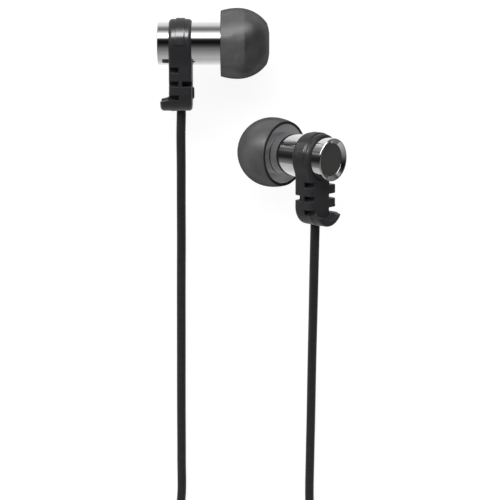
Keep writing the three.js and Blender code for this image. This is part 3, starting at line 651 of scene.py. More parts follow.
@dataclass(frozen=True)
class Finish:
    """A finish's name, colour and shine, which each kind of finish builds on.

    Attributes:
        name: the finish's name, from which its material's name is made.
        colour: base colour in linear light.
        roughness: mean roughness.
        pattern: what its pattern follows.
    """

    name: str
    colour: Triple
    roughness: float
    pattern: Pattern = Pattern.OBJECT

    def material(self) -> bpy.types.Material:
        """The finish's material, built once.

        Returns:
            The material.
        """
        name = f"{self.name}_finish"
        found = bpy.data.materials.get(name)
        if found:
            return found
        material = bpy.data.materials.new(name)
        material.use_nodes = True
        nodes = Nodes(material.node_tree)
        shader = nodes.add("BsdfPrincipled", {"Base Color": self.colour, "Roughness": self.roughness})
        nodes.feed(shader, self.dress(nodes))
        nodes.add("OutputMaterial", {"Surface": shader.outputs[0]})
        return material

    def dress(self, nodes: Nodes) -> dict[str, Any]:
        """The finish's own numbers and patterns, by the shader's input names."""
        return {}

    def place(self, nodes: Nodes) -> Socket:
        """The pattern's coordinates, in millimetres.

        Args:
            nodes: the material's nodes.

        Returns:
            Their socket.
        """
        if self.pattern is Pattern.SURFACE:
            return nodes.add("UVMap", uv_map="surface").outputs[0]
        return nodes.scaled(nodes.add("TexCoord").outputs["Object"], 1 / MM)

    def effect(self, nodes: Nodes, effect: Effect, *values: float, place: Socket | None = None) -> Any:
        """An effect's group placed in the material.

        Args:
            nodes: the material's nodes.
            effect: the effect.
            *values: the group's inputs after its coordinates.
            place: its coordinates, if they aren't the finish's own.

        Returns:
            The group's outputs.
        """
        inputs = {0: place or self.place(nodes), **dict(enumerate(values, 1))}
        return nodes.add("Group", inputs, node_tree=effect.group()).outputs

    def dusty(self, nodes: Nodes, colour: Socket, specks: Socket, gain: float, lift: float) -> Socket:
        """A colour with half-clear specks on it, which are the finish's colour made paler."""
        return nodes.blend(nodes.math("MULTIPLY", specks, 0.5), colour, toned(self.colour, gain, lift))


@dataclass(frozen=True)
class Metal(Finish):
    """Bare or plated metal with the faint marks of its turning.

    Attributes:
        size: width of a mark, in millimetres.
        stretch: how much longer than wide a mark is.
        depth: depth of the marks, in millimetres.
        spread: how far the roughness moves either way.
        metallic: share of metal in the surface.
        patch: size of its duller, darker patches' grain, in millimetres.
        darker: share of the colour that is left in those patches.
    """

    size: float = 0.08
    stretch: float = 60.0
    depth: float = 0.0004
    spread: float = 0.02
    metallic: float = 1.0
    patch: float = 0.35
    darker: float = 0.93

    def dress(self, nodes: Nodes) -> dict[str, Any]:
        """Turning marks in the roughness and the height, and a slight change of tone.

        Args:
            nodes: the material's nodes.

        Returns:
            The shader's inputs, by name.
        """
        marks = self.effect(nodes, Effect.STREAKS, self.size, self.stretch)["Mask"]
        patches = self.effect(nodes, Effect.GRAIN, self.patch, 0.5)["Mottle"]
        rough = nodes.span(marks, self.roughness - self.spread, self.roughness + self.spread)
        return {
            "Metallic": self.metallic,
            "Roughness": nodes.math("ADD", rough, nodes.span(patches, 0.0, self.spread)),
            "Base Color": nodes.blend(patches, self.colour, toned(self.colour, self.darker)),
            "Normal": nodes.bump(marks, self.depth),
        }


@dataclass(frozen=True)
class Moulded(Finish):
    """Moulded rubber or plastic with a fine grain and a little dust.

    Attributes:
        grain: size of the grain, in millimetres.
        depth: depth of the grain, in millimetres.
        specular: strength of its shine.
        dust: share of specks that show.
        dust_size: distance between specks, in millimetres.
        lighter: how much lighter its soft patches are.
        smoother, rougher: how far the grain takes the roughness down and up.
    """

    grain: float = 0.12
    depth: float = 0.004
    specular: float = 0.5
    dust: float = 0.1
    dust_size: float = 0.5
    lighter: float = 1.18
    smoother: float = 0.06
    rougher: float = 0.08

    def dress(self, nodes: Nodes) -> dict[str, Any]:
        """Grain in the height and the roughness, soft patches of tone, and pale specks.

        Args:
            nodes: the material's nodes.

        Returns:
            The shader's inputs, by name.
        """
        grain = self.effect(nodes, Effect.GRAIN, self.grain, 0.6)
        specks = self.effect(nodes, Effect.DUST, self.dust_size, self.dust)["Mask"]
        patchy = nodes.blend(grain["Mottle"], self.colour, toned(self.colour, self.lighter))
        low, high = self.roughness - self.smoother, self.roughness + self.rougher
        rough = nodes.span(grain["Height"], low, high, *MIDDLE)
        return {
            "Specular IOR Level": self.specular,
            "Base Color": self.dusty(nodes, patchy, specks, 1.6, 0.05),
            "Roughness": nodes.math("ADD", rough, nodes.math("MULTIPLY", specks, 0.2)),
            "Normal": nodes.bump(grain["Height"], self.depth),
        }


@dataclass(frozen=True)
class CollarRubber(Moulded):
    """Moulded rubber with a glossy coat where the mesh's gloss attribute is 1.

    Attributes:
        coat_roughness: roughness of the coat.
        coat_ior: its index of refraction, which sets how strongly it shines.
    """

    coat_roughness: float = 0.07
    coat_ior: float = 2.25

    def dress(self, nodes: Nodes) -> dict[str, Any]:
        """The moulded surface and the coat."""
        coat = {"Coat Roughness": self.coat_roughness, "Coat IOR": self.coat_ior}
        return super().dress(nodes) | coat | {"Coat Weight": nodes.marked("gloss")}


@dataclass(frozen=True)
class Silicone(Finish):
    """Smoky silicone that is seen through a little where it is met head on.

    Three attributes of the mesh run from 0 to 1: "inner" is 1 on the inner wall, which is painted
    near white as painted light for the light that comes through the wall, "thick" where the wall
    is too thick to see through, and "rim" on the rim, which is painted darker as painted shade.

    Attributes:
        solid: how solid a thin wall looks head on; it is fully solid edge on.
        depth: depth of its soft waves, in millimetres.
        skin: refractive index of its skin, which sets the strength of the sheen.
        dark: share of the colour that is left on the rim, which is painted shade.
        inner_painted_light: the inner wall's colour, painted near white as painted light for the light that
            comes through the wall.
        pale: the colour of its clouds and specks.
        lets_through: share of a solid wall that lets lamp light into the tip.
        wave: how far the waves take the roughness either way.
    """

    solid: float = 0.82
    depth: float = 0.002
    skin: float = 1.7
    dark: float = 0.25
    inner_painted_light: Triple = (0.8, 0.8, 0.805)
    pale: Triple = (0.3, 0.3, 0.3)
    lets_through: float = 0.75
    wave: float = 0.03

    def dress(self, nodes: Nodes) -> dict[str, Any]:
        """Clearness and sheen by the angle of view, a satin skin, faint clouds, a few specks, painted light
        on the inner wall and painted shade on the rim.

        Args:
            nodes: the material's nodes.

        Returns:
            The shader's inputs, by name.
        """
        waves = self.effect(nodes, Effect.GRAIN, 0.25, 0.5)
        specks = self.effect(nodes, Effect.DUST, 0.9, 0.02)["Mask"]
        facing = nodes.add("LayerWeight", {"Blend": 0.5}).outputs["Facing"]
        inner, thick, rim = [nodes.marked(name) for name in ("inner", "thick", "rim")]
        # The inner wall is painted near white: painted light for the light that comes through the wall.
        wall = nodes.blend(inner, self.colour, self.inner_painted_light)
        cloudy = nodes.blend(nodes.math("MULTIPLY", waves["Mottle"], 0.12), wall, self.pale)
        # The rim is painted darker: painted shade.
        rim_painted_shade = nodes.blend(rim, cloudy, toned(self.colour, self.dark))
        dull = nodes.math("MAXIMUM", nodes.math("POWER", facing, 2.5), rim)
        clear = nodes.span(nodes.math("POWER", facing, 2.0), self.solid, 1.0)
        rough = nodes.span(waves["Height"], self.roughness - self.wave, self.roughness + self.wave, *MIDDLE)
        shadow = nodes.add("LightPath").outputs["Is Shadow Ray"]
        kept = nodes.span(shadow, 1.0, 1.0 - self.lets_through)
        return {
            "IOR": self.skin,
            "Base Color": nodes.blend(nodes.math("MULTIPLY", specks, 0.2), rim_painted_shade, self.pale),
            "Alpha": nodes.math("MULTIPLY", nodes.math("MAXIMUM", clear, thick), kept),
            "Roughness": nodes.math("MINIMUM", nodes.math("ADD", rough, dull), 1.0),
            "Normal": nodes.bump(waves["Height"], self.depth),
        }


@dataclass(frozen=True)
class Jacket(Finish):
    """A cord's extruded jacket: fine lines along it, a soft sheen and a little dust.

    Attributes:
        line: width of an extrusion line, in millimetres.
        stretch: how much longer than wide a line is.
        depth: depth of the lines, in millimetres.
        specular: strength of its shine.
        lighter: how much lighter its soft patches are.
        smoother, rougher: how far the lines take the roughness down and up.
    """

    line: float = 0.12
    stretch: float = 40.0
    depth: float = 0.003
    specular: float = 0.2
    lighter: float = 1.25
    smoother: float = 0.05
    rougher: float = 0.06

    def dress(self, nodes: Nodes) -> dict[str, Any]:
        """Lines drawn along the cord in the height and the roughness, and pale specks.

        Args:
            nodes: the material's nodes.

        Returns:
            The shader's inputs, by name.
        """
        across, along, up = nodes.split(self.place(nodes))
        place = nodes.add("CombineXYZ", {0: along, 1: across, 2: up}).outputs[0]
        lines = self.effect(nodes, Effect.STREAKS, self.line, self.stretch, place=place)["Mask"]
        grain = self.effect(nodes, Effect.GRAIN, 0.15, 0.5)
        specks = self.effect(nodes, Effect.DUST, 0.6, 0.08)["Mask"]
        patchy = nodes.blend(grain["Mottle"], self.colour, toned(self.colour, self.lighter))
        height = nodes.math("ADD", lines, nodes.math("MULTIPLY", grain["Height"], 0.6))
        return {
            "Specular IOR Level": self.specular,
            "Base Color": self.dusty(nodes, patchy, specks, 1.5, 0.04),
            "Roughness": nodes.span(lines, self.roughness - self.smoother, self.roughness + self.rougher),
            "Normal": nodes.bump(height, self.depth),
        }


@dataclass(frozen=True)
class Woven(Finish):
    """Hook-and-loop strap: crossing yarns with a fuzzy pile.

    Attributes:
        pitch: distance between yarns, in millimetres.
        depth: depth of the weave, in millimetres.
        pile: height of the pile, as a share of a yarn's.
        lighter: how much lighter the tops of the yarns are, as painted light, with painted shade below them.
    """

    pitch: float = 0.28
    depth: float = 0.05
    pile: float = 0.7
    lighter: float = 1.8

    def dress(self, nodes: Nodes) -> dict[str, Any]:
        """Over-and-under yarns from two crossing waves, with pile between them, their tops painted lighter
        as painted light.

        Args:
            nodes: the material's nodes.

        Returns:
            The shader's inputs, by name.
        """
        turn = math.pi / self.pitch
        sides = nodes.split(self.place(nodes))[:2]
        warp, weft = [nodes.math("SINE", nodes.math("MULTIPLY", side, turn)) for side in sides]
        yarn = nodes.span(nodes.math("MULTIPLY", warp, weft), 0.0, 1.0, -1.0, 1.0)
        pile = self.effect(nodes, Effect.GRAIN, 0.08, 0.7)["Height"]
        height = nodes.math("ADD", yarn, nodes.math("MULTIPLY", pile, self.pile))
        # The yarns' tops are painted lighter and the hollows darker: painted light and shade.
        top = nodes.math("MULTIPLY", height, 0.6)
        return {
            "Sheen Weight": 0.3,
            "Sheen Roughness": 0.5,
            "Base Color": nodes.blend(top, self.colour, toned(self.colour, self.lighter)),
            "Normal": nodes.bump(height, self.depth),
        }


@dataclass(frozen=True)
class Foam(Finish):
    """Open-cell foam.

    Attributes:
        cell: size of a cell, in millimetres.
        depth: depth of a cell, in millimetres.
        lighter: how much lighter the cells' edges are than their bottoms, as painted light and shade.
    """

    cell: float = 0.15
    depth: float = 0.06
    lighter: float = 2.0

    def dress(self, nodes: Nodes) -> dict[str, Any]:
        """Round pits from scattered cells, with painted shade at their bottoms and painted light on their
        edges.

        Args:
            nodes: the material's nodes.

        Returns:
            The shader's inputs, by name.
        """
        cells = nodes.add("TexVoronoi", {"Vector": self.place(nodes), "Scale": 1 / self.cell})
        edge = cells.outputs["Distance"]
        return {
            # Painted shade: the pits' bottoms darker, their edges lighter.
            "Base Color": nodes.blend(edge, self.colour, toned(self.colour, self.lighter)),
            "Normal": nodes.bump(edge, self.depth),
        }


ON_SURFACE = Pattern.SURFACE
POLISHED = Metal("polished_metal", shade(228, 228, 229), 0.06, ON_SURFACE, spread=0.012)
SATIN = Metal("satin_metal", shade(205, 205, 207), 0.2, ON_SURFACE, depth=0.001, spread=0.04)
PLATE = Metal("dark_plate", shade(76, 77, 75), 0.45, ON_SURFACE, 0.05, 200.0, 0.001, metallic=0.3)
GOLD = Metal("gold", shade(226, 196, 128), 0.12, ON_SURFACE)
STEEL = Metal("steel", shade(176, 178, 180), 0.3, size=0.05, stretch=12.0, spread=0.06)
MAGNET = Metal("magnet", shade(150, 152, 156), 0.22, size=0.1, stretch=6.0)
COPPER = Metal("copper", shade(196, 124, 78), 0.3, size=0.04, stretch=30.0, depth=0.01)
MOULDING = CollarRubber("moulding", shade(41, 40, 43), 0.5, grain=0.11, depth=0.004)
BLACK_PLASTIC = Moulded("black_plastic", shade(26, 26, 27), 0.42, grain=0.2, depth=0.002)
FILM = Moulded("film", shade(206, 190, 150), 0.25, grain=0.3, depth=0.002, dust=0.0)
BOARD = Moulded("board", shade(34, 92, 56), 0.4, grain=0.3, depth=0.003)
SILICONE = Silicone("silicone", shade(44, 44, 46), 0.36)
JACKET = Jacket("cord_jacket", shade(47, 47, 48), 0.46, ON_SURFACE)
JACKET_END = Moulded("cord_jacket_end", shade(47, 47, 48), 0.46, grain=0.12, depth=0.003)
STRAP = Woven("tie", shade(30, 30, 31), 0.85, ON_SURFACE)
FOAM = Foam("foam", shade(30, 30, 30), 0.95)


class Assembly:
    """Something made of named pieces, each on its body and in its finish."""

    def fit(self, piece: Object, finish: Finish, *nodes: str, body: str = "headset") -> Object:
        """Dresses a new piece, seats it on its body and lets it stand for its solids.

        Args:
            piece: the piece, in place.
            finish: its finish, whose material the piece gets.
            *nodes: the solids that it stands for.
            body: the body that it moves with.

        Returns:
            The piece.
        """
        piece.data.materials.append(finish.material())
        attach(piece, body)
        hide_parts(*nodes)
        log.info("%s: %d faces, %s", piece.name, len(piece.data.polygons), finish.name)
        return piece

    def dress_solid(self, node: str, finish: Finish) -> None:
        """Gives a solid that stays in view its finish.

        Args:
            node: the solid's name.
            finish: its finish.
        """
        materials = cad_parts[node].data.materials
        materials.clear()
        materials.append(finish.material())
        log.info("%s: solid kept, %s", node, finish.name)


# ---------------------------------------------------------------- Earpieces


@dataclass(frozen=True)
class ReliefShape:
    """The strain relief's sizes: a collar round the barrel, a notched neck and a scooped foot.

    All are in millimetres, in the earpiece's own frame, but for the glossy window's angles,
    which are in radians from the near side towards +Y.
    """

    collar: float = 4.15
    barrel: float = 3.625
    play: float = 0.012
    start: float = 1.93
    width: float = 3.9
    half: float = 3.3
    drop: float = 11.45
    fillet: float = 4.0
    edge: float = 0.6
    band_rise: float = 0.18
    band_width: float = 1.5
    band_edge: float = 0.07
    band_crease: float = 0.05
    foot: float = 1.55
    foot_rise: float = 2.9
    foot_hollow: float = 1.06
    scoop: float = 2.45
    scoop_lift: float = 0.25
    slot_height: float = 0.88
    slot_pitch: float = 2.35
    slot_drop: float = 4.25
    slot_reach: float = 1.67
    back_depth: float = 0.85
    front_depth: float = 1.45
    far_depth: float = 1.9
    nub_length: float = 2.0
    nub_half: float = 0.75
    nub_rise: float = 0.32
    nub_drop: float = 8.4
    nub_edge: float = 0.2
    nub_crease: float = 0.08
    hole: float = 0.72
    crease: float = 0.1
    window: tuple[float, float] = (0.1, 0.76)
    window_fade: float = 0.14

    @property
    def end(self) -> float:
        """Where the neck ends along X."""
        return self.start + self.width

    @property
    def middle(self) -> float:
        """The neck's middle along X."""
        return self.start + self.width / 2

    def outline(self, y: Array, z: Array) -> Array:
        """Distance to the keyhole outline.

        A disc and a round-ended strip, with a circle of the fillet's radius taken out of each
        flank between the points where it touches the two.

        Args:
            y, z: coordinates in the earpiece's frame.

        Returns:
            The distances, negative inside.
        """
        side = np.abs(z)
        reach = self.drop - self.half
        disc = np.hypot(y, z) - self.collar
        strip = np.hypot(side, y - np.clip(y, -reach, 0.0)) - self.half
        centre_z = self.half + self.fillet
        centre_y = -math.sqrt((self.collar + self.fillet) ** 2 - centre_z**2)
        dz, dy = side - centre_z, y - centre_y
        in_flank = (dy >= 0) & (centre_y * dz - centre_z * dy > 0)
        return np.where(in_flank, self.fillet - np.hypot(dz, dy), np.minimum(disc, strip))

    def slots(self, near: float) -> list[tuple[float, float, float, float, float]]:
        """Each slot's start and end along X, its drop, its depth and the side that it is on.

        Args:
            near: the side that faces up from the table, 1 or -1.

        Returns:
            Those five numbers for each slot.
        """
        back = (self.start - 1, self.start + self.slot_reach)
        front = (self.end - self.slot_reach, self.end + 1)
        drops = [self.slot_drop + row * self.slot_pitch for row in range(3)]
        found = [(*back, drop, self.back_depth, near) for drop in drops]
        found += [(*back, drop, self.far_depth, -near) for drop in drops]
        found.append((*front, drops[1], self.front_depth, near))
        return found

    def gloss(self, points: Array, near: float) -> Array:
        """1 in a window on the collar's near side between its eased edges, 0 elsewhere.

        Args:
            points: points in the earpiece's frame.
            near: the side that faces up from the table, 1 or -1.

        Returns:
            The value at each point.
        """
        x, y, z = points.T
        skin, eased, fade = 0.04, 0.8 * self.edge, 0.1
        on_top = (np.hypot(y, z) - self.collar) / skin + 1.5
        inside = (self.width / 2 - eased - np.abs(x - self.start - self.width / 2)) / fade
        angle = np.arctan2(y, near * z)
        window = np.minimum(angle - self.window[0], self.window[1] - angle) / self.window_fade
        return np.clip(on_top, 0.0, 1.0) * np.clip(inside, 0.0, 1.0) * np.clip(window, 0.0, 1.0)

    def toe(self, x: Array, y: Array, z: Array) -> Array:
        """Distance to the foot, whose top runs level and turns up to the neck as a parabola.

        Args:
            x, y, z: coordinates in the earpiece's frame.

        Returns:
            The distances, negative inside.
        """
        below = np.minimum(y + self.drop - self.half, 0.0)
        toe = np.hypot(z, below) - self.half
        toe = slab(toe, x, self.start - self.foot, self.start + self.width / 3, self.edge)
        t = 1 - np.sqrt(np.clip((self.start - x) / self.foot, 0.02, 1.0))
        level = y + self.drop - self.foot_rise + self.foot_hollow * (1 - t * t)
        steep = self.foot_hollow / self.foot * t / (1 - t)
        return soft_max(toe, level / np.hypot(1.0, steep), 2 * self.crease)

    def nub(self, x: Array, y: Array, z: Array) -> Array:
        """Distance to the tactile nub, a round-ended bar on the neck's front face.

        Args:
            x, y, z: coordinates in the earpiece's frame.

        Returns:
            The distances, negative inside.
        """
        nub_y = y + self.nub_drop
        run = self.nub_length / 2 - self.nub_half
        nub = np.hypot(z, nub_y - np.clip(nub_y, -run, run)) - self.nub_half
        return slab(nub, x, self.middle, self.end + self.nub_rise, self.nub_edge)

    def distance(self, points: Array, near: float, has_nub: bool) -> Array:
        """Distance to the whole moulding, negative inside it.

        Bodies are joined by the smaller of their distances and cuts are taken off by the larger,
        each with its crease rounded.

        Args:
            points: points in the earpiece's frame.
            near: the side that faces up from the table, 1 or -1.
            has_nub: this one carries the tactile nub.

        Returns:
            The distances.
        """
        x, y, z = points[..., 0], points[..., 1], points[..., 2]
        crease, ring, half_band = self.crease, np.hypot(y, z), self.band_width / 2
        body = slab(self.outline(y, z), x, self.start, self.end, self.edge)
        body = soft_min(body, self.toe(x, y, z), 3 * crease)
        band = ring - self.collar - self.band_rise
        band = slab(band, x, self.middle - half_band, self.middle + half_band, self.band_edge)
        body = soft_min(body, soft_max(band, -y, crease), self.band_crease)
        if has_nub:
            body = soft_min(body, self.nub(x, y, z), self.nub_crease)
        scoop = np.hypot(y + self.drop - self.half - self.scoop_lift, z) - self.scoop
        body = soft_max(body, -soft_max(scoop, x - self.start, crease), 1.5 * crease)
        body = soft_max(body, self.barrel + self.play - ring, crease)
        hole = soft_max(np.hypot(x - self.middle, z) - self.hole, y + self.barrel, crease)
        body = soft_max(body, -hole, crease)
        for start, end, drop, depth, side in self.slots(near):
            across = np.abs(x - (start + end) / 2) - (end - start) / 2
            tall = np.abs(y + drop) - self.slot_height / 2
            deep = self.half - depth - side * z
            cut = soft_max(soft_max(across, tall, crease), deep, crease)
            body = soft_max(body, -cut, crease)
        return body


@dataclass(frozen=True)
class TipShape:
    """The ear tip's sizes, in millimetres, in the earpiece's own frame."""

    start: float = 10.7
    radius: float = 6.0
    rim: float = 5.56
    rim_depth: float = 0.06
    length: float = 8.3
    dome_start: float = 2.9
    dome_depth: float = 6.05
    crown: float = 0.45
    wall: float = 0.5
    nose_wall: float = 1.3
    mouth: float = 1.7
    mouth_depth: float = 0.5
    stem_bore: float = 2.42
    stem_wall: float = 0.65
    stem_start: float = 13.9
    ease: float = 0.16

    @property
    def end(self) -> float:
        """Where the nose ends along X."""
        return self.start + self.length

    def outer(self, inset: float) -> Array:
        """The curve from the skirt's rim over the dome to the nose.

        The skirt widens to the full radius as a parabola, and the dome falls from there as a
        quarter of an ellipse.

        Args:
            inset: how far inside the tip's outer radius it runs.

        Returns:
            [x, radius] points.
        """
        t = np.linspace(0.0, 1.0, 14)
        skirt_radius = self.radius - (self.radius - self.rim) * (1 - t) ** 2
        skirt = np.stack((self.start + self.dome_start * t, skirt_radius - inset), -1)
        reach = self.length - self.crown - self.dome_start
        x = reach * np.sin(np.linspace(0.0, QUARTER, 40)[1:])
        dome_radius = self.radius * np.sqrt(1 - (x / self.dome_depth) ** 2)
        dome = np.stack((self.start + self.dome_start + x, dome_radius - inset), -1)
        return np.vstack((skirt, dome))

    def marks(self, profile: Array) -> dict[str, Array]:
        """The finish's marks along the profile: its inner wall, its thick part and its rim.

        Args:
            profile: the tip's eased profile, from the skirt's rim over the nose and back inside.

        Returns:
            A value from 0 to 1 for each point, by the mark's name.
        """
        lead, fade = 0.4, 1.4
        x = profile[:, 0]
        number = np.arange(len(profile))
        back = number > np.argmax(x + 1e-6 * number)
        depth = np.clip((self.end - x) / self.mouth_depth, 0.0, 1.0)
        rim = np.clip(1.5 - (x - self.start) / self.rim_depth, 0.0, 1.0)
        thick = np.where(back, 0.0, np.clip((x - self.stem_start + lead) / fade, 0.0, 1.0))
        return {"inner": np.where(back, depth * (1 - rim), 0.0), "thick": np.maximum(thick, rim), "rim": rim}

    def profile(self) -> Array:
        """The whole closed profile, eased: outer curve, crowned nose, mouth, stem and inner wall.

        Returns:
            [x, radius] points.
        """
        outer = self.outer(0.0)
        edge = outer[-1, 1]
        radius = np.linspace(edge, self.mouth, 9)[1:]
        nose = np.stack((self.end - self.crown * (radius / edge) ** 3, radius), -1)
        stem = self.stem_bore + self.stem_wall
        inner = self.outer(self.wall)
        inner = inner[(inner[:, 0] < self.end - self.nose_wall) & (inner[:, 1] > stem + self.wall)][::-1]
        inside = [
            [self.end - self.mouth_depth, self.mouth],
            [self.end - self.mouth_depth, self.stem_bore],
            [self.stem_start, self.stem_bore],
            [self.stem_start, stem],
            [inner[0, 0], stem],
        ]
        return rounded(np.vstack((outer, nose, inside, inner)), self.ease, steps=4)


@dataclass(frozen=True)
class Earpiece(Assembly):
    """One earpiece: barrel, back plate, nozzle housing, strain relief, ear tip and driver.

    Attributes:
        side: left or right, as its solids are named.
        placement: where it lies.
        near: the side of the neck that faces up, 1 or -1.
        has_nub: it carries the tactile nub.
        barrel_radius, barrel_length, barrel_bore: the barrel's sizes.
        rim_flat, rim_depth: the flat at the back rim, and the depth of its inner bevel.
        chamfer: the bevel on the rim's outside.
        lip, lip_end: radius and end of the lip that the back plate sits in.
        plate: thickness of the back plate.
        shoulder_start, shoulder_end, shoulder_round: the nozzle housing's shoulder.
        spigot, spigot_bore, spigot_depth: the part of the housing inside the barrel.
        nozzle, nozzle_bore, nozzle_end: the nozzle's radius, bore and end.
        collar: how far the nozzle's root is proud of it.
        barb, barb_length, barb_back: the barb's rise, its length, and how far back it ends.
        ease: how much the metal's edges are eased.
        cell: size of the cells that the strain relief is worked out on.
        relief: the strain relief's shape.
        tip: the ear tip's shape.
    """

    side: str
    placement: Placement
    near: float
    has_nub: bool
    barrel_radius: float = 3.625
    barrel_length: float = 10.9
    barrel_bore: float = 2.95
    rim_flat: float = 0.27
    rim_depth: float = 0.45
    chamfer: float = 0.12
    lip: float = 2.75
    lip_end: float = 1.07
    plate: float = 0.5
    shoulder_start: float = 11.1
    shoulder_end: float = 13.6
    shoulder_round: float = 1.35
    spigot: float = 2.83
    spigot_bore: float = 2.43
    spigot_depth: float = 1.5
    nozzle: float = 2.0
    nozzle_bore: float = 1.45
    nozzle_end: float = 18.3
    collar: float = 0.12
    barb: float = 0.28
    barb_length: float = 0.9
    barb_back: float = 1.6
    ease: float = 0.05
    cell: float = 0.09
    relief: ReliefShape = ReliefShape()
    tip: TipShape = TipShape()

    def turn(self, name: str, profile: Array, finish: Finish, node: str, loop: bool = True,
             body: str = "headset") -> Object:
        """A piece turned about the barrel's axis, where the earpiece lies.

        Args:
            name: the piece's name after its side.
            profile: its [x, radius] points.
            finish: its finish.
            node: the solid that it stands for, by its name after its side.
            loop: the profile closes on itself.
            body: the body that it moves with.

        Returns:
            The piece.
        """
        patch = turned(profile, loop)
        patch = replace(patch, points=self.placement.place(patch.points))
        piece = patch_object(f"{self.side}.{name}", patch)
        return self.fit(piece, finish, f"{self.side}_{node}", body=body)

    def barrel(self) -> None:
        """The polished tube, bevelled inwards at its back rim."""
        profile = [
            [0.0, self.barrel_radius - self.rim_flat],
            [0.0, self.barrel_radius - self.chamfer],
            [self.chamfer, self.barrel_radius],
            [self.barrel_length, self.barrel_radius],
            [self.barrel_length, self.barrel_bore],
            [self.lip_end, self.barrel_bore],
            [self.lip_end, self.lip],
            [self.rim_depth, self.lip],
        ]
        self.turn("barrel", rounded(profile, self.ease), POLISHED, "barrel_shell")

    def back_plate(self) -> None:
        """The flat plate set into the back rim, with an eased edge."""
        radius = self.lip - 0.01
        start, end = self.rim_depth, self.rim_depth + self.plate
        rings = [[start, share * radius] for share in (0.0, 0.25, 0.5, 0.75, 1.0)]
        profile = rounded([*rings, [end, radius], [end, 0.0]], self.ease, loop=False)
        self.turn("back_cap", profile, PLATE, "back_plate", loop=False)

    def housing(self) -> None:
        """The rounded shoulder with its spigot and the barbed nozzle."""
        root = self.nozzle + self.collar
        round_start = self.shoulder_end - self.shoulder_round
        spigot_start = self.shoulder_start - self.spigot_depth
        barb_end = self.nozzle_end - self.barb_back
        barb_start = barb_end - self.barb_length
        profile = [
            [spigot_start, self.spigot_bore],
            [spigot_start, self.spigot],
            [self.shoulder_start, self.spigot],
            [self.shoulder_start, self.barrel_radius],
            [round_start, self.barrel_radius],
            *quarter((round_start, self.barrel_radius), (self.shoulder_end, root)),
            [self.shoulder_end, root],
            [self.shoulder_end + self.collar, self.nozzle],
            [barb_start, self.nozzle],
            [barb_start, self.nozzle + self.barb],
            [barb_end, self.nozzle],
            [self.nozzle_end, self.nozzle],
            [self.nozzle_end, self.nozzle_bore],
            [self.shoulder_start + 1.4, self.nozzle_bore],
            [self.shoulder_start, self.spigot_bore],
        ]
        self.turn("nozzle", rounded(profile, self.ease), SATIN, "nozzle_housing")

    def strain_relief(self) -> None:
        """The black moulding with its collar, notched neck and scooped foot."""
        shape = self.relief
        top = shape.collar + 0.5
        low = (shape.start - shape.foot - 0.3, -shape.drop - 0.3, -top)
        high = (shape.end + 0.6, top, top)
        vertices, quads = moulded_surface(
            lambda points: shape.distance(points, self.near, self.has_nub), low, high, self.cell
        )
        piece = mesh_object(f"{self.side}.relief", self.placement.place(vertices), quads)
        mark(piece, "gloss", shape.gloss(vertices, self.near))
        self.fit(piece, MOULDING, f"{self.side}_strain_relief")

    def ear_tip(self) -> None:
        """The silicone dome with its skirt and stem, which pulls off the nozzle."""
        profile = self.tip.profile()
        piece = self.turn("tip", profile, SILICONE, "ear_tip", body=f"{self.side}_tip")
        columns = len(piece.data.vertices) // len(profile)
        for name, values in self.tip.marks(profile).items():
            mark(piece, name, np.repeat(values, columns))
        piece.visible_glossy = not self.has_nub

    def build(self) -> None:
        """Makes the earpiece's outer pieces and dresses its inner solids."""
        for make in (self.barrel, self.back_plate, self.housing, self.strain_relief, self.ear_tip):
            make()
        inner = {
            "nozzle_mesh": STEEL,
            "acoustic_damper": FOAM,
            "driver_frame": BLACK_PLASTIC,
            "driver_yoke": STEEL,
            "driver_magnet": MAGNET,
            "voice_coil": COPPER,
            "diaphragm": FILM,
            "terminal_board": BOARD,
            "cord_anchor": JACKET_END,
        }
        for name, finish in inner.items():
            self.dress_solid(f"{self.side}_{name}", finish)


# ---------------------------------------------------------------- Cords


@dataclass(frozen=True)
class Coil:
    """A cord's spare length, wound in and out again in layers.

    Attributes:
        start: where the first turn starts, seen from above.
        angle: the angle of that point round the coil's middle, in degrees.
        sense: 1 for anticlockwise, -1 for clockwise.
        turns, layers: how many turns and layers.
        mean: mean radius of a turn.
        diameter: the cord's diameter.
        spacing: distance between turns, centre to centre.
        base: height of the lowest layer's centre line.
    """

    start: tuple[float, float]
    angle: float
    sense: int
    turns: float
    layers: int
    mean: float
    diameter: float
    spacing: float
    base: float

    @property
    def span(self) -> float:
        """Turns in one layer."""
        return self.turns / self.layers

    @property
    def outer(self) -> float:
        """Radius of the outermost turn's centre line."""
        return self.mean + self.spacing * self.span / 2

    @property
    def inner(self) -> float:
        """Radius of the innermost turn's centre line."""
        return self.mean - self.spacing * self.span / 2

    @property
    def top(self) -> float:
        """Height of the highest layer's centre line."""
        return self.base + (self.layers - 1) * self.spacing

    @property
    def centre(self) -> tuple[float, float]:
        """The coil's middle, seen from above."""
        angle = math.radians(self.angle)
        return self.start[0] - self.outer * math.cos(angle), self.start[1] - self.outer * math.sin(angle)

    def path(self) -> Array:
        """The centre line.

        The radius falls at a steady rate through one layer and grows through the next, and the
        height climbs by one spacing, as a smooth step, in the half turn where it reverses.

        Returns:
            Its points.
        """
        per_turn, climbing = 72, 0.5
        turn = np.linspace(0.0, self.turns, round(self.turns * per_turn) + 1)
        layer = np.minimum(np.floor(turn / self.span), self.layers - 1)
        share = turn / self.span - layer
        inward = np.where(layer % 2 == 0, share, 1 - share)
        radius = self.outer - self.spacing * self.span * inward
        angle = math.radians(self.angle) + self.sense * 2 * math.pi * turn
        climb = np.zeros_like(turn)
        for reversal in range(1, self.layers):
            begun = turn - reversal * self.span + climbing / 2
            climb += smooth_step(np.clip(begun / climbing, 0.0, 1.0))
        x = self.centre[0] + radius * np.cos(angle)
        y = self.centre[1] + radius * np.sin(angle)
        return np.stack((x, y, self.base + self.spacing * climb), -1)


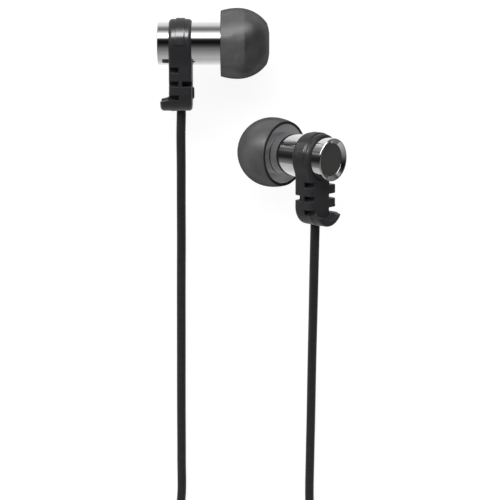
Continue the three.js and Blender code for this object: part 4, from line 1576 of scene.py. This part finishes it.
@dataclass(frozen=True)
class Tie(Assembly):
    """A hook-and-loop strap round a coil's bundle of turns.

    Attributes:
        name: left, right or main, as its piece and its solid are named.
        coil: the coil that it holds.
        angle: where on the coil it sits, in degrees.
        width, thickness: the strap's sizes.
        clearance: its distance from the turns.
        corner: how much the strap is rounded at the bundle's corners.
        tail: thickness of its free end.
        tail_gap, tail_narrower: the free end's height over the band, and how much it is narrower.
        tail_start, tail_end: how far inside the band's two sides the free end starts and ends.
        edge: how much the strap's own edges are eased.
    """

    name: str
    coil: Coil
    angle: float
    width: float = 3.0
    thickness: float = 0.5
    clearance: float = 0.3
    corner: float = 0.7
    tail: float = 0.36
    tail_gap: float = 0.02
    tail_narrower: float = 0.05
    tail_start: float = 0.6
    tail_end: float = 1.1
    edge: float = 0.16

    def build(self) -> Object:
        """The closed band and its free end, which lies on top of it.

        Returns:
            The piece.
        """
        coil, half_width = self.coil, self.width / 2
        reach = coil.diameter / 2 + self.clearance
        low_r = math.sqrt((coil.inner - coil.diameter / 2) ** 2 - half_width**2) - self.clearance
        high_r = coil.outer + reach
        low_z, high_z = coil.base - reach, coil.top + reach
        window = [[low_r, low_z], [high_r, low_z], [high_r, high_z], [low_r, high_z]]
        band = self.ribbon(rounded(window, self.corner, steps=8), self.thickness, half_width, loop=True)
        run = np.linspace(high_r - self.tail_start, low_r + self.tail_end, 40)
        line = np.stack((run, np.full_like(run, high_z + self.thickness + self.tail_gap)), -1)
        rounding = np.clip((run - run[-1]) / half_width, 0.0, 1.0)
        half_tail = (half_width - self.tail_narrower) * np.sqrt(1 - (1 - rounding) ** 2 * 0.98)
        tail = self.ribbon(line, self.tail, half_tail, loop=False)
        return self.fit(patch_object(f"{self.name}.tie", band, tail), STRAP, f"{self.name}_coil_tie")

    def ribbon(self, line: Array, thickness: float, half_width: float | Array, loop: bool) -> Patch:
        """A strap of rounded section that lies along a line in the plane of radius and height.

        The section goes outwards from the line by the thickness and to both sides of the plane
        by the half width.

        Args:
            line: [radius, height] points.
            thickness: the strap's thickness.
            half_width: half its width, the same all along or one value for each point.
            loop: the line closes on itself.

        Returns:
            The surface.
        """
        heading = headings(line, loop)
        outward = np.stack((heading[:, 1], -heading[:, 0]), -1)
        corners = [[0.0, -1.0], [thickness, -1.0], [thickness, 1.0], [0.0, 1.0]]
        rise, side = rounded(corners, self.edge, steps=5).T
        spread = np.broadcast_to(np.asarray(half_width, float), (len(line),))[:, None] * side
        flat = line[:, None] + outward[:, None] * rise[None, :, None]
        angle = math.radians(self.angle)
        x = self.coil.centre[0] + flat[..., 0] * math.cos(angle) - spread * math.sin(angle)
        y = self.coil.centre[1] + flat[..., 0] * math.sin(angle) + spread * math.cos(angle)
        points = np.stack((x, y, flat[..., 1]), -1)
        along, around = lengths_along(line, loop), 2 * (self.width + thickness)
        return Patch(points, along, around, True) if loop else capped(points, along, around)


@dataclass(frozen=True)
class Cord(Assembly):
    """A free cord: a stretch from its exit, a coil of its spare length, and a stretch to its end.

    Attributes:
        name: left, right or main, as its piece and its solids are named.
        route: points from its exit to its coil.
        lead: points from its coil to its end.
        coil: the coil between them, which has the cord's diameter.
        exit: where it leaves the object.
        length: its real length.
        far_end: what it ends in.
        sides: points round the cord.
        step: distance between its sections.
    """

    name: str
    route: tuple[Triple, ...]
    lead: tuple[Triple, ...]
    coil: Coil
    exit: Triple
    length: float
    far_end: str = "fitting"
    sides: int = 20
    step: float = 0.55

    def path(self) -> Array:
        """The cord's whole centre line, in even steps, nowhere so low that it sinks into the table.

        Returns:
            Its points.
        """
        whole = np.vstack((smooth_route(self.route), self.coil.path(), smooth_route(self.lead)))
        whole[:, 2] = np.maximum(whole[:, 2], self.coil.diameter / 2)
        return even_steps(whole, self.step)

    def build(self) -> Object:
        """The cord as a round tube along its centre line."""
        piece = patch_object(f"{self.name}.cord", tube(self.path(), self.coil.diameter / 2, self.sides))
        return self.fit(piece, JACKET, *(f"{self.name}_cord{part}" for part in ("", "_coil", "_lead")))

    def declare(self, piece: Object, *with_pieces: Object) -> None:
        """Works out the cord's centre line in metres, and leaves it unused.

        Args:
            piece: the cord, not used.
            *with_pieces: the pieces on it, not used.
        """
        (MM * self.path()).tolist()


@dataclass(frozen=True)
class Split(Assembly):
    """The moulded piece where the two branches meet the main cord.

    Attributes:
        top: the middle of its wide end, on the table.
        length, wide, narrow, height: its length, half widths and height.
        squareness: power of its section's curve, from 1, round, towards 0, square.
        end_round: radius of its two ends.
        heel: share of that radius by which the ends lift off the table.
    """

    top: tuple[float, float] = (-4.0, -133.0)
    length: float = 13.0
    wide: float = 2.5
    narrow: float = 1.7
    height: float = 3.2
    squareness: float = 0.45
    end_round: float = 0.7
    heel: float = 0.35

    def build(self) -> Object:
        """The flat-bottomed body, drawn in from its wide end to its narrow one.

        Its half width falls along a smooth step from the wide value to the narrow one. Each
        section is a rectangle with rounded corners, drawn in as a quarter circle at both ends.

        Returns:
            The piece.
        """
        t = np.linspace(0.0, 1.0, 60)
        angle = np.linspace(0.0, QUARTER, 9)[:-1]
        inset = np.concatenate((1 - np.sin(angle), 0 * t, (1 - np.sin(angle))[::-1])) * self.end_round
        lag = self.end_round * (1 - np.cos(angle))
        body = self.end_round + (self.length - 2 * self.end_round) * t
        along = np.concatenate((lag, body, self.length - lag[::-1]))
        half = self.wide + (self.narrow - self.wide) * np.interp(along, body, smooth_step(t)) - inset
        low, high = self.heel * inset, self.height - inset
        turn = full_turn(96)
        waves = np.cos(turn), np.sin(turn)
        unit_x, unit_z = [np.sign(wave) * np.abs(wave) ** self.squareness for wave in waves]
        x = self.top[0] + half[:, None] * unit_x
        z = (low + high)[:, None] / 2 + ((high - low) / 2)[:, None] * unit_z
        y = np.broadcast_to((self.top[1] - along)[:, None], x.shape)
        patch = capped(np.stack((x, y, z), -1), along, 2 * (2 * self.wide + self.height))
        return self.fit(patch_object("split", patch), MOULDING, "y_split")


@dataclass(frozen=True)
class Plug(Assembly):
    """The 3.5 mm stereo plug with its grip and strain relief, turned about its own X axis.

    Attributes:
        placement: where it lies.
        grip_radius, grip_length, grip_round: the grip's sizes.
        groove: depth of the grip's grooves.
        grooves: how many there are.
        relief_length, relief_wide, relief_narrow, ribs: the strain relief's sizes and ribs.
        pin: the contacts' radius.
        flange, flange_radius: the sleeve's flange.
        sleeve, band, insulator, tip: lengths of the contacts and the insulators.
        gap: distance between neighbouring pieces.
        play: what is left of a gap that an insulator fills, and how far below the contacts it is.
        rod, rod_depth: radius of the core rod that carries the tip, and how deep it sits.
    """

    placement: Placement
    grip_radius: float = 3.2
    grip_length: float = 17.0
    grip_round: float = 0.8
    groove: float = 0.25
    grooves: int = 4
    relief_length: float = 8.0
    relief_wide: float = 1.9
    relief_narrow: float = 1.35
    ribs: int = 3
    pin: float = 1.75
    flange: float = 0.8
    flange_radius: float = 2.6
    sleeve: float = 6.2
    band: float = 2.3
    insulator: float = 0.6
    tip: float = 3.6
    gap: float = 0.1
    play: float = 0.02
    rod: float = 0.5
    rod_depth: float = 3.0

    def turn(self, name: str, profile: Sequence[Sequence[float]], ease: float, finish: Finish,
             loop: bool = False, node: str = "") -> Object:
        """One turned piece of the plug.

        Args:
            name: the piece's name after the plug's.
            profile: its [x, radius] corners.
            ease: how much they are eased.
            finish: its finish.
            loop: the profile closes on itself.
            node: its solid's name after the plug's, where that isn't the piece's own.

        Returns:
            The piece.
        """
        patch = turned(rounded(profile, ease, loop), loop, 96)
        patch = replace(patch, points=self.placement.place(patch.points))
        return self.fit(patch_object(f"plug.{name}", patch), finish, f"plug_{node or name}")

    def relief_profile(self) -> list[list[float]]:
        """The tapered strain relief with grooves between its ribs.

        Returns:
            [x, radius] corners.
        """
        end, start, lead = -self.play, -0.3, 0.28
        points = [[end - self.relief_length - lead, 0.0]]
        pitch = self.relief_length / self.ribs
        for rib in range(self.ribs + 1):
            t = rib / self.ribs
            radius = self.relief_narrow + (self.relief_wide - self.relief_narrow) * t
            x = start - self.relief_length * (1 - t)
            if rib > 0:
                points += [[x - pitch / 4, radius - self.groove], [x - pitch / 4, radius]]
            points.append([x if rib < self.ribs else end, radius])
            if rib < self.ribs:
                points += [[x + pitch / 2, radius], [x + pitch / 2, radius - self.groove]]
        points.append([end, 0.0])
        return points

    def grip_profile(self) -> list[list[float]]:
        """The round-shouldered grip with a few finger grooves and the core rod's socket.

        Returns:
            [x, radius] corners.
        """
        radius, edge, end = self.grip_radius, self.grip_round, self.grip_length
        angle = np.linspace(0.0, QUARTER, 9)
        shoulder = np.stack((edge * (1 - np.cos(angle)), radius - edge + edge * np.sin(angle)), -1)
        points = [[0.0, 0.0], *shoulder.tolist()]
        pitch = end * 0.5 / self.grooves
        for number in range(self.grooves):
            x = end * 0.3 + number * pitch
            points += [[x, radius], [x + pitch / 4, radius - self.groove], [x + pitch / 2, radius]]
        socket = end - self.rod_depth - 0.2
        points += [[end - edge / 2, radius], [end, radius - edge / 2]]
        return [*points, [end, self.rod], [socket, self.rod], [socket, 0.0]]

    def build(self) -> list[Object]:
        """All the plug's pieces from the cord's end to the tip.

        Returns:
            The pieces, in that order.
        """
        bore = self.rod + self.gap
        sleeve = self.grip_length + self.gap
        shoulder = sleeve + self.flange
        sleeve_end = shoulder + self.sleeve
        rear = sleeve_end + self.gap
        ring = rear + self.insulator + self.gap
        front = ring + self.band + self.gap
        tip = front + self.insulator + self.gap
        rod_end = self.grip_length - self.rod_depth
        bulge, end, waist = tip + 0.55 * self.tip, tip + self.tip, 0.62 * self.pin

        def hoop(start: float, stop: float, radius: float) -> list[list[float]]:
            """The profile of a plain ring round the core rod."""
            return [[start, bore], [start, radius], [stop, radius], [stop, bore]]

        def filler(start: float) -> list[list[float]]:
            """The profile of an insulator that fills its gaps."""
            fill = self.gap - self.play
            return hoop(start - fill, start + self.insulator + fill, self.pin - self.play)

        sleeve_profile = [
            [sleeve, bore],
            [sleeve, self.flange_radius],
            [shoulder, self.flange_radius],
            [shoulder, self.pin],
            [sleeve_end, self.pin],
            [sleeve_end, bore],
        ]
        tip_profile = [
            [rod_end, 0.0],
            [rod_end, self.rod],
            [tip, self.rod],
            [tip, self.pin],
            [tip + 0.12 * self.tip, self.pin],
            [tip + 0.3 * self.tip, waist],
            [bulge, self.pin],
            *quarter((bulge, self.pin), (end, 0.0)),
            [end, 0.0],
        ]
        return [
            self.turn("relief", self.relief_profile(), 0.12, MOULDING, node="strain_relief"),
            self.turn("grip", self.grip_profile(), 0.15, MOULDING),
            self.turn("sleeve", sleeve_profile, 0.08, GOLD, loop=True),
            self.turn("rear_insulator", filler(rear), 0.03, BLACK_PLASTIC, loop=True),
            self.turn("ring", hoop(ring, ring + self.band, self.pin), 0.06, GOLD, loop=True),
            self.turn("front_insulator", filler(front), 0.03, BLACK_PLASTIC, loop=True),
            self.turn("tip", tip_profile, 0.12, GOLD),
        ]


# ---------------------------------------------------------------- Studio


@dataclass(frozen=True)
class Studio:
    """Camera, pale floor, soft sky and lamps.

    Attributes:
        eye: the camera's place, in millimetres.
        tilt: how far it leans from straight down, in degrees.
        lens: focal length for a 36 mm frame.
        tent: light from above, by how far a direction leans towards the soft box.
        horizon: the same for directions near the horizon.
        heights: how high a direction points where the horizon's light starts and ends its fade.
        table: light that the table shows in shiny things, from head on to edge on.
        table_edge: where that light starts and ends its fall along Y, in metres.
        table_beyond: the share of it that is left beyond there.
        side_edge, side_beyond: the same along X.
        turn: how far the soft box lies from +Y towards -X, in degrees.
        pale: the table's colour at the two ends of its speckle.
        white: light of the table as the camera sees it.
        seen_share: how much of that light covers the table's own shading for the camera.
        mirrored_share: the same in shiny things.
        drop: how far the table lies under the object, in millimetres.
    """

    eye: Triple = (-0.31, 33.715, 276.95)
    tilt: float = 12.0
    lens: float = 114.08
    tent: Stops = (
        (-1.0, 0.56), (-0.89, 0.46), (-0.79, 0.38), (-0.66, 0.32), (-0.52, 0.23), (-0.35, 0.18),
        (-0.18, 0.08), (0.0, 0.025), (0.16, 0.006), (0.34, 0.012), (0.46, 0.05), (0.52, 0.3),
        (0.58, 1.6), (0.64, 4.0), (0.7, 4.5), (0.78, 4.0), (0.88, 1.1), (0.95, 0.5), (1.0, 0.2),
    )
    horizon: Stops = (
        (-1.0, 0.52), (-0.5, 0.35), (-0.3, 0.22), (-0.1, 0.13), (0.1, 0.02), (0.5, 0.05),
        (0.7, 0.06), (0.9, 0.15), (1.0, 0.2),
    )
    heights: tuple[float, float] = (0.03, 0.3)
    table: Stops = (
        (0.0, 1.15), (0.26, 1.0), (0.4, 0.95), (0.5, 0.85), (0.61, 0.72), (0.78, 0.63),
        (0.93, 0.52), (1.0, 0.5),
    )
    table_edge: tuple[float, float] = (0.03, 0.065)
    table_beyond: float = 0.35
    side_edge: tuple[float, float] = (0.012, 0.03)
    side_beyond: float = 0.15
    turn: float = 11.0
    pale: tuple[Triple, Triple] = ((0.88, 0.88, 0.88), (0.92, 0.92, 0.92))
    white: Triple = (1.2, 1.2, 1.2)
    seen_share: float = 0.75
    mirrored_share: float = 0.85
    drop: float = 0.01

    def camera(self) -> None:
        """The camera, nearly straight above the earpieces."""
        data = bpy.data.cameras.new("camera")
        data.sensor_width = 36.0
        data.lens = self.lens
        data.clip_start = 0.005
        data.clip_end = 20.0
        camera = bpy.data.objects.new("camera", data)
        tilt = math.radians(self.tilt)
        back = (0.0, math.sin(tilt), math.cos(tilt))
        up = (0.0, math.cos(tilt), -math.sin(tilt))
        rows = [[1.0, up[0], back[0]], [0.0, up[1], back[1]], [0.0, up[2], back[2]]]
        camera.matrix_world = Matrix.Translation([MM * v for v in self.eye]) @ Matrix(rows).to_4x4()
        bpy.context.scene.collection.objects.link(camera)
        bpy.context.scene.camera = camera

    @staticmethod
    def light(nodes: Nodes, factor: Socket, stops: Stops, low: float = 0.0) -> Socket:
        """Grey light along a factor from 0 to 1, with stops that run from low to 1.

        Args:
            nodes: the tree that it goes into.
            factor: the factor's socket.
            stops: [place, light] pairs in order.
            low: the place of factor 0.

        Returns:
            The colour socket.
        """
        peak = max(light for _, light in stops)
        ramp = nodes.add("ValToRGB", {0: factor})
        elements = ramp.color_ramp.elements
        for place, _ in stops[1:-1]:
            elements.new((place - low) / (1 - low))
        for element, (_, light) in zip(elements, stops):
            element.color = (light / peak, light / peak, light / peak, 1.0)
        return nodes.scaled(ramp.outputs[0], peak)

    def floor(self) -> None:
        """A pale round table top whose shading the camera sees softened towards white."""
        angle = full_turn(96)
        radius = np.array([0.0, 500.0, 3000.0])[:, None]
        points = (radius * np.cos(angle), radius * np.sin(angle), 0 * radius - self.drop + 0 * angle)
        floor = patch_object("floor", Patch(np.stack(points, -1), radius[:, 0], 2 * math.pi))
        material = bpy.data.materials.new("pale_floor")
        material.use_nodes = True
        nodes = Nodes(material.node_tree)
        place = nodes.add("TexCoord").outputs["Object"]
        speckle = nodes.add("TexNoise", {"Vector": place, "Scale": 900.0}).outputs[0]
        own = nodes.add("BsdfDiffuse", {"Color": nodes.blend(speckle, *self.pale)}).outputs[0]
        ray = nodes.add("LightPath").outputs
        seen = nodes.math("MAXIMUM", ray["Is Camera Ray"], ray["Is Transmission Ray"])
        facing = nodes.add("LayerWeight", {"Blend": 0.5}).outputs["Facing"]
        x, y, _ = nodes.split(place)
        # Shiny things see the table glow with painted light by the angle of view, falling to painted shade
        # beyond table_edge and side_edge.
        left = nodes.math(
            "MULTIPLY",
            nodes.span(y, 1.0, self.table_beyond, *self.table_edge),
            nodes.span(x, 1.0, self.side_beyond, *self.side_edge),
        )
        mirrored = nodes.scaled(self.light(nodes, facing, self.table), left)
        glow = nodes.add("Emission", {"Color": nodes.blend(seen, mirrored, self.white), "Strength": 1.0})
        seen = nodes.math("MULTIPLY", seen, self.seen_share)
        share = nodes.math("ADD", seen, nodes.math("MULTIPLY", ray["Is Glossy Ray"], self.mirrored_share))
        surface = nodes.add("MixShader", {0: share, 1: own, 2: glow.outputs[0]})
        nodes.add("OutputMaterial", {"Surface": surface.outputs[0]})
        floor.data.materials.append(material)

    def world(self) -> None:
        """A sky like a light tent: bright towards +Y, dark overhead, grey towards -Y."""
        world = bpy.data.worlds.new("tent")
        bpy.context.scene.world = world
        world.use_nodes = True
        nodes = Nodes(world.node_tree)
        direction = nodes.add("TexCoord").outputs["Generated"]
        turn = math.radians(self.turn)
        box = {0: direction, 1: (-math.sin(turn), math.cos(turn), 0.0)}
        lean = nodes.add("VectorMath", box, operation="DOT_PRODUCT").outputs["Value"]
        share = nodes.span(lean, 0.0, 1.0, -1.0, 1.0)
        above, level = [self.light(nodes, share, stops, -1.0) for stops in (self.tent, self.horizon)]
        high = nodes.span(nodes.split(direction)[2], 0.0, 1.0, *self.heights)
        tent, white = [
            nodes.add("Background", {"Color": colour, "Strength": 1.0}).outputs[0]
            for colour in (nodes.blend(high, level, above), (1.0, 1.0, 1.0))
        ]
        seen = nodes.add("LightPath").outputs["Is Camera Ray"]
        surface = nodes.add("MixShader", {0: seen, 1: tent, 2: white})
        nodes.add("OutputWorld", {"Surface": surface.outputs[0]})

    def lamp(self, name: str, place: Triple, size: tuple[float, float], radiance: float) -> None:
        """A rectangular soft lamp that faces the origin.

        Args:
            name: the lamp's name.
            place: its place, in metres.
            size: its width and height, in metres.
            radiance: how bright its face is.
        """
        data = bpy.data.lights.new(name, "AREA")
        data.shape = "RECTANGLE"
        data.size, data.size_y = size
        data.energy = radiance * math.pi * size[0] * size[1]
        lamp = bpy.data.objects.new(name, data)
        lamp.location = place
        lamp.rotation_euler = (-lamp.location).to_track_quat("-Z", "Y").to_euler()
        lamp.visible_glossy = False
        bpy.context.scene.collection.objects.link(lamp)

    def build(self) -> None:
        """Floor, sky, lamps and the view's plain colour handling."""
        self.floor()
        self.world()
        self.lamp("key", (-0.22, 0.58, 0.5), (0.7, 0.25), 1.6)
        self.lamp("left_fill", (-0.8, 0.0, 0.35), (0.5, 0.3), 1.0)
        self.lamp("right_fill", (0.8, -0.1, 0.35), (0.5, 0.3), 1.0)
        bpy.context.scene.view_settings.view_transform = "Standard"


# ---------------------------------------------------------------- The whole object


LEFT_CORD = Cord(
    name="left",
    route=(
        (-12.1, 1.2, 6.0), (-12.1, 0.285, 6.0), (-12.2, -3.5, 5.9), (-12.25, -9.0, 4.9),
        (-12.4, -16.0, 2.7), (-12.5, -23.0, 1.2), (-12.6, -30.0, 0.72), (-12.7, -42.0, 0.7),
        (-12.8, -54.0, 0.7), (-12.85, -64.0, 0.7), (-13.0, -72.0, 0.75), (-14.2, -78.0, 1.1),
        (-15.0, -82.6, 1.5), (-15.0, -84.3, 1.5),
    ),
    lead=(
        (-15.0, -87.7, 3.4), (-15.1, -90.5, 3.3), (-15.4, -96.0, 1.6), (-15.6, -102.0, 0.75),
        (-15.5, -110.0, 0.7), (-14.6, -117.0, 0.7), (-11.6, -122.5, 0.75), (-7.6, -126.5, 1.1),
        (-5.5, -130.0, 1.5), (-5.1, -132.7, 1.6), (-5.1, -133.6, 1.6),
    ),
    coil=Coil((-15.0, -86.0), 180.0, 1, 5.0, 2, 7.225, 1.6, 1.9, 1.5),
    exit=(-12.1, 0.285, 6.0),
    length=0.38,
)

RIGHT_CORD = Cord(
    name="right",
    route=(
        (10.751, -17.4, 12.521), (10.751, -18.335, 12.521), (10.72, -21.5, 12.25), (10.7, -27.0, 10.9),
        (10.75, -34.0, 7.7), (10.8, -41.0, 4.3), (10.82, -48.0, 1.9), (10.8, -55.0, 0.8),
        (10.7, -63.0, 0.7), (10.65, -72.0, 0.7), (11.1, -80.0, 0.7), (12.05, -90.0, 0.7),
        (12.4, -100.0, 0.9), (12.5, -108.6, 1.5), (12.5, -110.3, 1.5),
    ),
    lead=(
        (12.5, -113.7, 3.4), (12.3, -117.0, 3.0), (10.4, -121.5, 1.5), (6.6, -124.3, 0.8),
        (2.2, -125.6, 0.8), (-1.2, -127.3, 1.1), (-2.7, -130.0, 1.5), (-2.9, -132.7, 1.6),
        (-2.9, -133.6, 1.6),
    ),
    coil=Coil((12.5, -112.0), 0.0, -1, 5.0, 2, 7.615, 1.6, 1.9, 1.5),
    exit=(10.751, -18.335, 12.521),
    length=0.38,
)

MAIN_CORD = Cord(
    name="main",
    route=(
        (-4.0, -145.4, 1.6), (-4.0, -146.3, 1.6), (-4.3, -149.0, 1.6), (-7.9, -153.0, 1.7),
        (-11.7, -157.2, 1.8), (-13.0, -161.4, 1.8), (-13.0, -163.7, 1.8),
    ),
    lead=(
        (17.1875, -163.7, 9.3), (17.1875, -160.25, 9.0), (17.1875, -154.5, 6.8),
        (17.1875, -148.5, 4.7), (17.1875, -143.6, 3.4), (17.1875, -140.0, 3.2),
        (17.1875, -139.2, 3.2),
    ),
    coil=Coil((-13.0, -166.0), 180.0, 1, 11.5, 4, 11.5, 2.0, 2.5, 1.8),
    exit=(-4.0, -146.3, 1.6),
    length=0.88,
    far_end="plug",
    sides=24,
)

LEFT_TIE = Tie("left", LEFT_CORD.coil, 0.0, clearance=0.2)
RIGHT_TIE = Tie("right", RIGHT_CORD.coil, 180.0, clearance=0.2)
MAIN_TIE = Tie("main", MAIN_CORD.coil, 270.0)
PLUG = Plug(Placement((17.1875, -131.4, 3.2), about_z=90.0))
LEFT_EAR = Earpiece("left", Placement((-15.98, 12.035, 6.0)), 1.0, True)
RIGHT_EAR = Earpiece("right", Placement((13.6347, -6.585, 15.117), about_y=138.0), -1.0, False)


def main() -> None:
    """Builds the camera and the cords, then the pieces on them, the earpieces and the studio."""
    logging.basicConfig(level=logging.INFO, format="%(name)s: %(message)s", stream=sys.stdout)
    studio = Studio()
    studio.camera()
    left, right, trunk = LEFT_CORD.build(), RIGHT_CORD.build(), MAIN_CORD.build()
    split = Split().build()
    left_tie, right_tie, main_tie = LEFT_TIE.build(), RIGHT_TIE.build(), MAIN_TIE.build()
    plug = PLUG.build()
    LEFT_CORD.declare(left, left_tie, split)
    RIGHT_CORD.declare(right, right_tie)
    MAIN_CORD.declare(trunk, main_tie, *plug)
    for piece in (left, right, trunk, split, left_tie, right_tie, main_tie, *plug):
        # The barrels mirror a bare table, as in the photograph.
        piece.visible_glossy = False
    LEFT_EAR.build()
    RIGHT_EAR.build()
    studio.build()
    log.info("pieces are in place")


if __name__ == "__main__":
    main()
